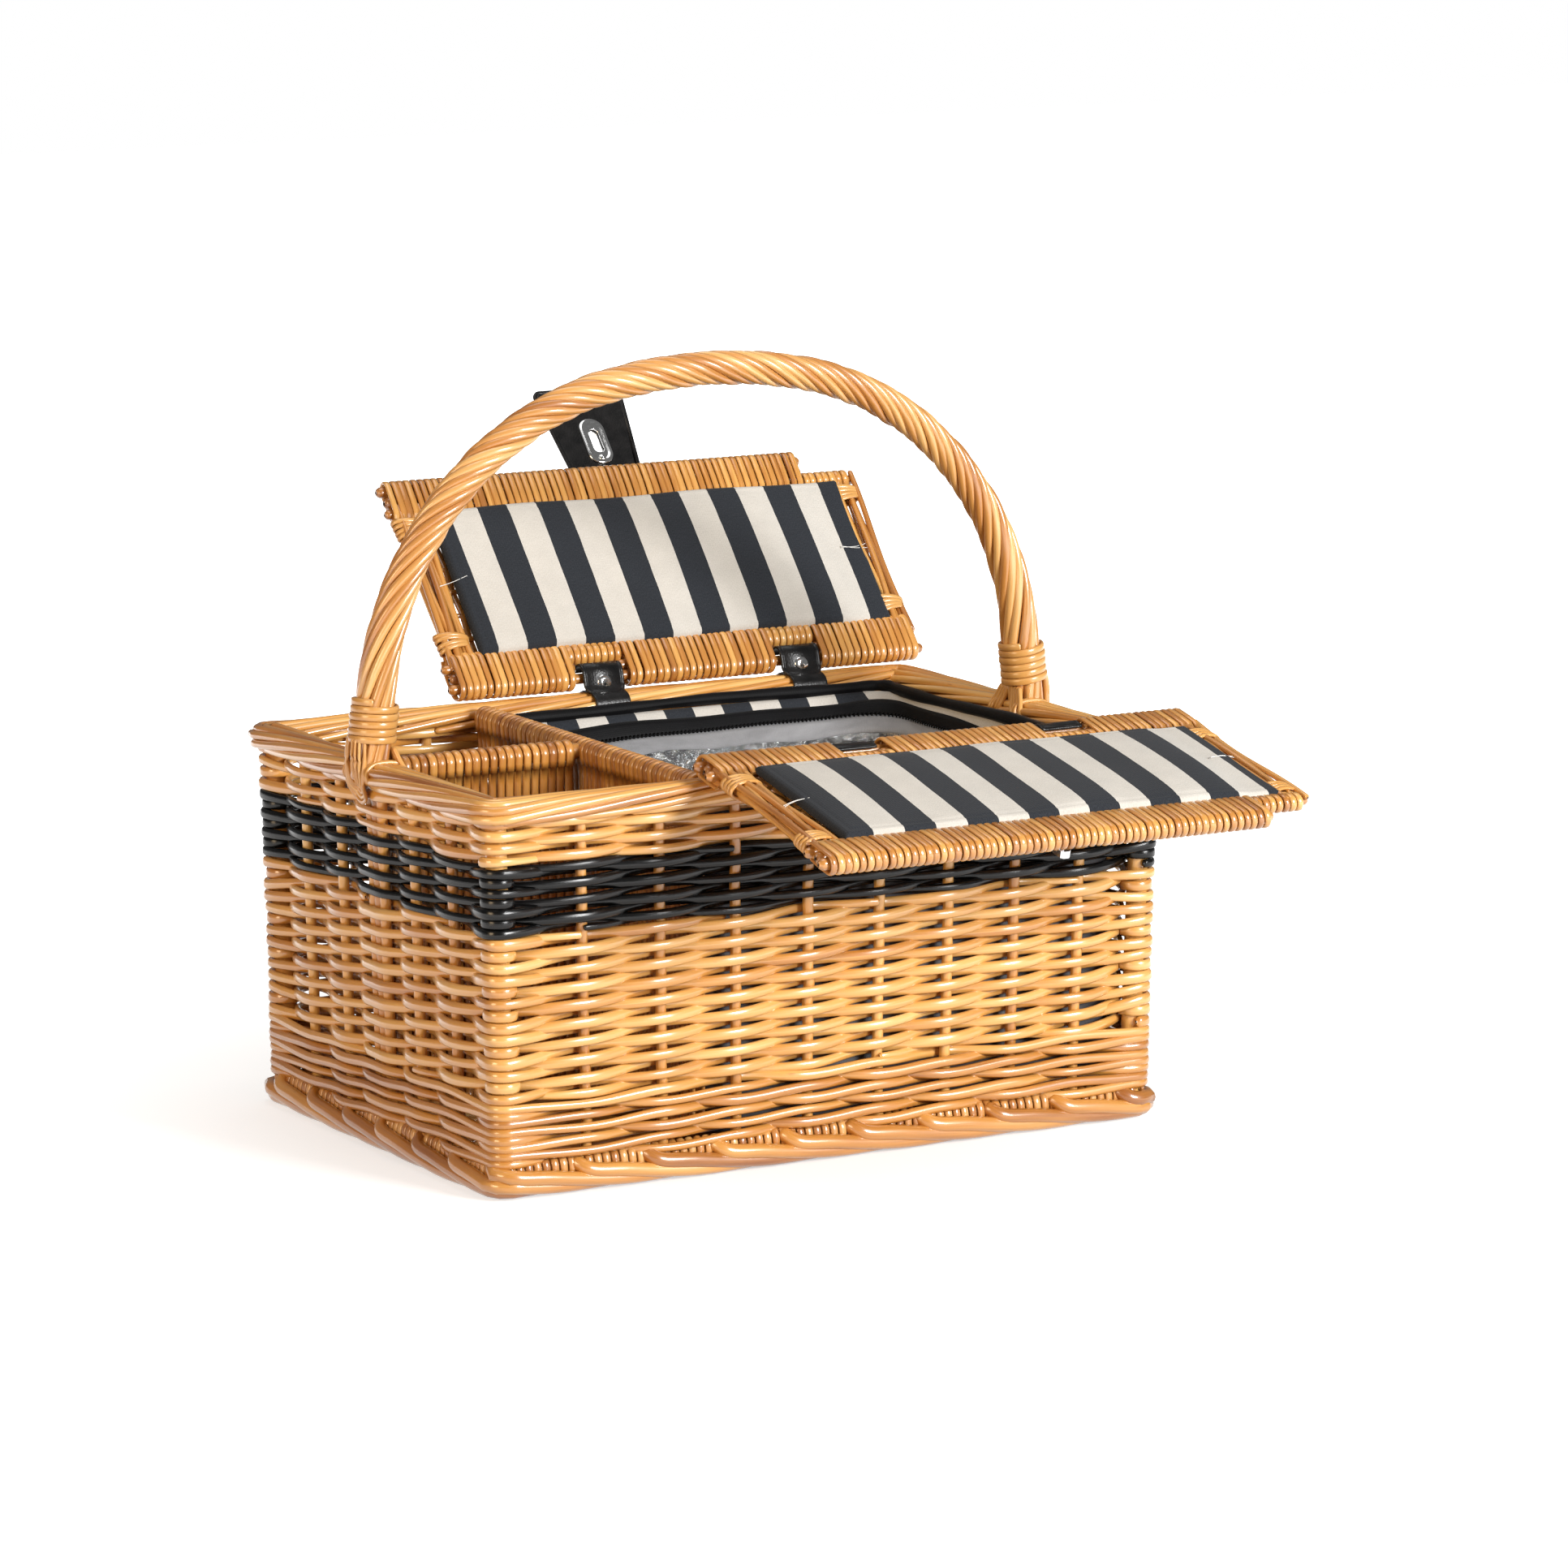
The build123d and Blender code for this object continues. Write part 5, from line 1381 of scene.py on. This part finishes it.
def build_dividers():
    strips = Bundle()
    radius = 5.5
    angle = np.linspace(np.pi, 0, 11)
    arc = np.stack([radius * np.cos(angle), DIVIDER_ROD_Z + radius * np.sin(angle)], 1)
    leg = [(-3.1, 22), (-3.1, 120), (-3.3, 196), (-4.8, 204)]
    section = np.vstack([leg, arc, [(-d, z) for d, z in reversed(leg)]])
    nodes = smooth_path(section, 7.0)

    def strip(origin, along, across, at):
        lean = rng.uniform(-0.5, 0.5) * np.linspace(-1, 1, len(nodes))
        path = origin + np.outer(at + lean, along) + np.outer(nodes[:, 0], across)
        path[:, 2] = nodes[:, 1]
        width = 2.35 * rng.uniform(0.92, 1.06)
        # Low tones: painted shade, so the divider strips stay darker than the other willow and the shaded
        # inside of the basket reads dark through the gaps.
        tone = rng.uniform(-0.1, 0.4)
        strips.tube(path, 1.3, width, up=along, sides=10, square=2.1, tips=False, tone=tone)

    x_way, y_way = np.array([1.0, 0, 0]), np.array([0, 1.0, 0])
    for y in np.arange(-125.5, 126, 5.25):
        strip(np.array([DIVIDER_X, 0, 0]), y_way, x_way, y + rng.uniform(-0.25, 0.25))
    for x in np.arange(-194, -84, 5.25):
        strip(np.array([0.0, 0, 0]), x_way, y_way, x + rng.uniform(-0.25, 0.25))
    for z in (60, 100, 140, 180):
        strips.tube([(DIVIDER_X, -126, z), (DIVIDER_X, 126, z)], 2.2, 2.2, sides=8)
        strips.tube([(-194, 0, z), (-84, 0, z)], 2.2, 2.2, sides=8)
    for start, end in (((DIVIDER_X, -127), (DIVIDER_X, 127)), ((-195, 0), (-82, 0))):
        strips.tube([(*start, DIVIDER_ROD_Z), (*end, DIVIDER_ROD_Z)], 4.4, 4.4, sides=14, tone=0.2)
    nodes_replaced = ["main_divider_panel", "cross_divider_panel", "divider_top_rods"]
    strips.build("divider_wrapped_strips_painted_shade", WILLOW, "basket", nodes_replaced)


def build_base():
    bundle = Bundle()
    sticks = np.linspace(-150, 150, 7)
    for row, y in enumerate(np.arange(-126.6, 127, 5.6)):
        x = np.linspace(-192, 192, 110)
        phase = np.interp(x, sticks, np.arange(7))
        z = BASE_Z + 2.3 * np.cos(np.pi * (phase + row))
        path = np.stack([x, y + 0.3 * np.sin(x / 30 + row), z], 1)
        bundle.tube(path, 2.7, 2.1, sides=8)
    for x in sticks:
        bundle.tube([(x, -127, BASE_Z), (x, 0, BASE_Z), (x, 127, BASE_Z)], 2.4, 2.4, sides=8, tone=0.2)
    bundle.build("base_woven_floor", WILLOW, "basket", ["base_panel", "base_sticks"])


# Stage and camera


def build_world():
    scene = bpy.context.scene
    scene.view_settings.view_transform = "Standard"
    world = bpy.data.worlds.new("studio")
    scene.world = world
    world.use_nodes = True
    tree = world.node_tree
    background = tree.nodes["Background"]
    fill(tree, background, Color=WHITE, Strength=0.16)
    white = node(tree, "ShaderNodeBackground", Color=WHITE, Strength=1.0)
    rays = node(tree, "ShaderNodeLightPath").outputs
    seen = math_node(tree, "MAXIMUM", rays["Is Camera Ray"], rays["Is Transmission Ray"])
    mix = node(tree, "ShaderNodeMixShader")
    tree.links.new(seen, mix.inputs[0])
    tree.links.new(background.outputs[0], mix.inputs[1])
    tree.links.new(white.outputs[0], mix.inputs[2])
    tree.links.new(mix.outputs[0], tree.nodes["World Output"].inputs["Surface"])


def build_floor():
    floor_mesh = bpy.data.meshes.new("floor")
    reach = 6.0
    corners = [(-reach, -reach), (reach, -reach), (reach, reach), (-reach, reach)]
    floor_mesh.from_pydata([(x, y, -0.0004) for x, y in corners], [], [(0, 1, 2, 3)])
    floor = bpy.data.objects.new("floor", floor_mesh)
    bpy.context.scene.collection.objects.link(floor)
    material, tree, shader = new_material("floor_pale")
    grain = node(tree, "ShaderNodeTexNoise", Scale=60.0, Detail=2.0)
    tone = ramp(tree, grain.outputs["Fac"], [(0.3, (0.54, 0.54, 0.54)), (0.7, (0.57, 0.57, 0.57))])
    fill(tree, shader, Base_Color=tone, Roughness=0.9, Specular_IOR_Level=0.1)
    rays = node(tree, "ShaderNodeLightPath").outputs
    seen = math_node(tree, "MAXIMUM", rays["Is Camera Ray"], rays["Is Glossy Ray"])
    place = node(tree, "ShaderNodeTexCoord").outputs["Object"]
    distance = node(tree, "ShaderNodeVectorMath", operation="LENGTH", Vector=place)
    rise = scaled(tree, distance.outputs["Value"], 1.2, 0.36)
    glow = math_node(tree, "MULTIPLY", seen, math_node(tree, "MINIMUM", rise, 2.0))
    fill(tree, shader, Emission_Color=WHITE, Emission_Strength=glow)
    floor_mesh.materials.append(material)


def aimed(name, data, place, target):
    """A lamp or camera that looks from place at target."""
    obj = bpy.data.objects.new(name, data)
    obj.location = place
    obj.rotation_mode = "QUATERNION"
    obj.rotation_quaternion = (Vector(target) - Vector(place)).to_track_quat("-Z", "Y")
    bpy.context.scene.collection.objects.link(obj)
    return obj


def build_lamps():
    lamps = (
        ("key", (1.0, -2.7, 1.15), 0.9, 122, (1, 1, 1)),
        ("fill", (-2.4, -0.9, 0.9), 1.0, 31, (1.0, 0.74, 0.46)),
        ("top", (0.0, 0.3, 2.4), 1.5, 14, (1, 1, 1)),
    )
    for name, place, size, power, colour in lamps:
        light = bpy.data.lights.new(name, "AREA")
        light.shape = "SQUARE"
        light.size = size
        light.energy = power
        light.color = colour
        aimed(name, light, place, (0.0, 0.0, 0.2))


def build_camera():
    camera = bpy.data.cameras.new("camera")
    camera.lens = 154.2
    camera.sensor_width = 36.0
    camera.clip_end = 50
    place, target = (-1.7892, -3.2234, 0.8502), (0.05351, 0.00701, 0.17896)
    bpy.context.scene.camera = aimed("camera", camera, place, target)


build_world()
build_floor()
build_lamps()
build_camera()
woven_band(
    "lower_weave_strands", WILLOW, 51.0, 141.5, 18, "lower_weave",
    climb=14, height=2.85, depth=2.1, tones=(0.25, 0.85), wrap=6.4,
)
woven_band(
    "black_band_strands", BLACK, 141.5, 179.5, 8, "black_band",
    climb=8, height=2.65, depth=2.0, tones=(0.2, 0.8), wrap=5.8,
)
woven_band(
    "upper_weave_strands", WILLOW, 179.5, 207.0, 6, "upper_weave",
    climb=6, height=2.65, depth=2.1, tones=(0.25, 0.85), wrap=6.4,
)
build_wale()
build_stakes()
build_posts()
build_foot()
build_base_wraps()
build_rim()
build_handle()
build_bindings()
build_lashings()
for lid in ("front", "back"):
    build_lid_weave(lid)
    build_lid_rods(lid)
    build_lid_ties(lid)
    build_lid_tacks(lid)
    build_lining(lid)
build_straps()
build_hasp()
build_cooler()
build_dividers()
build_base()
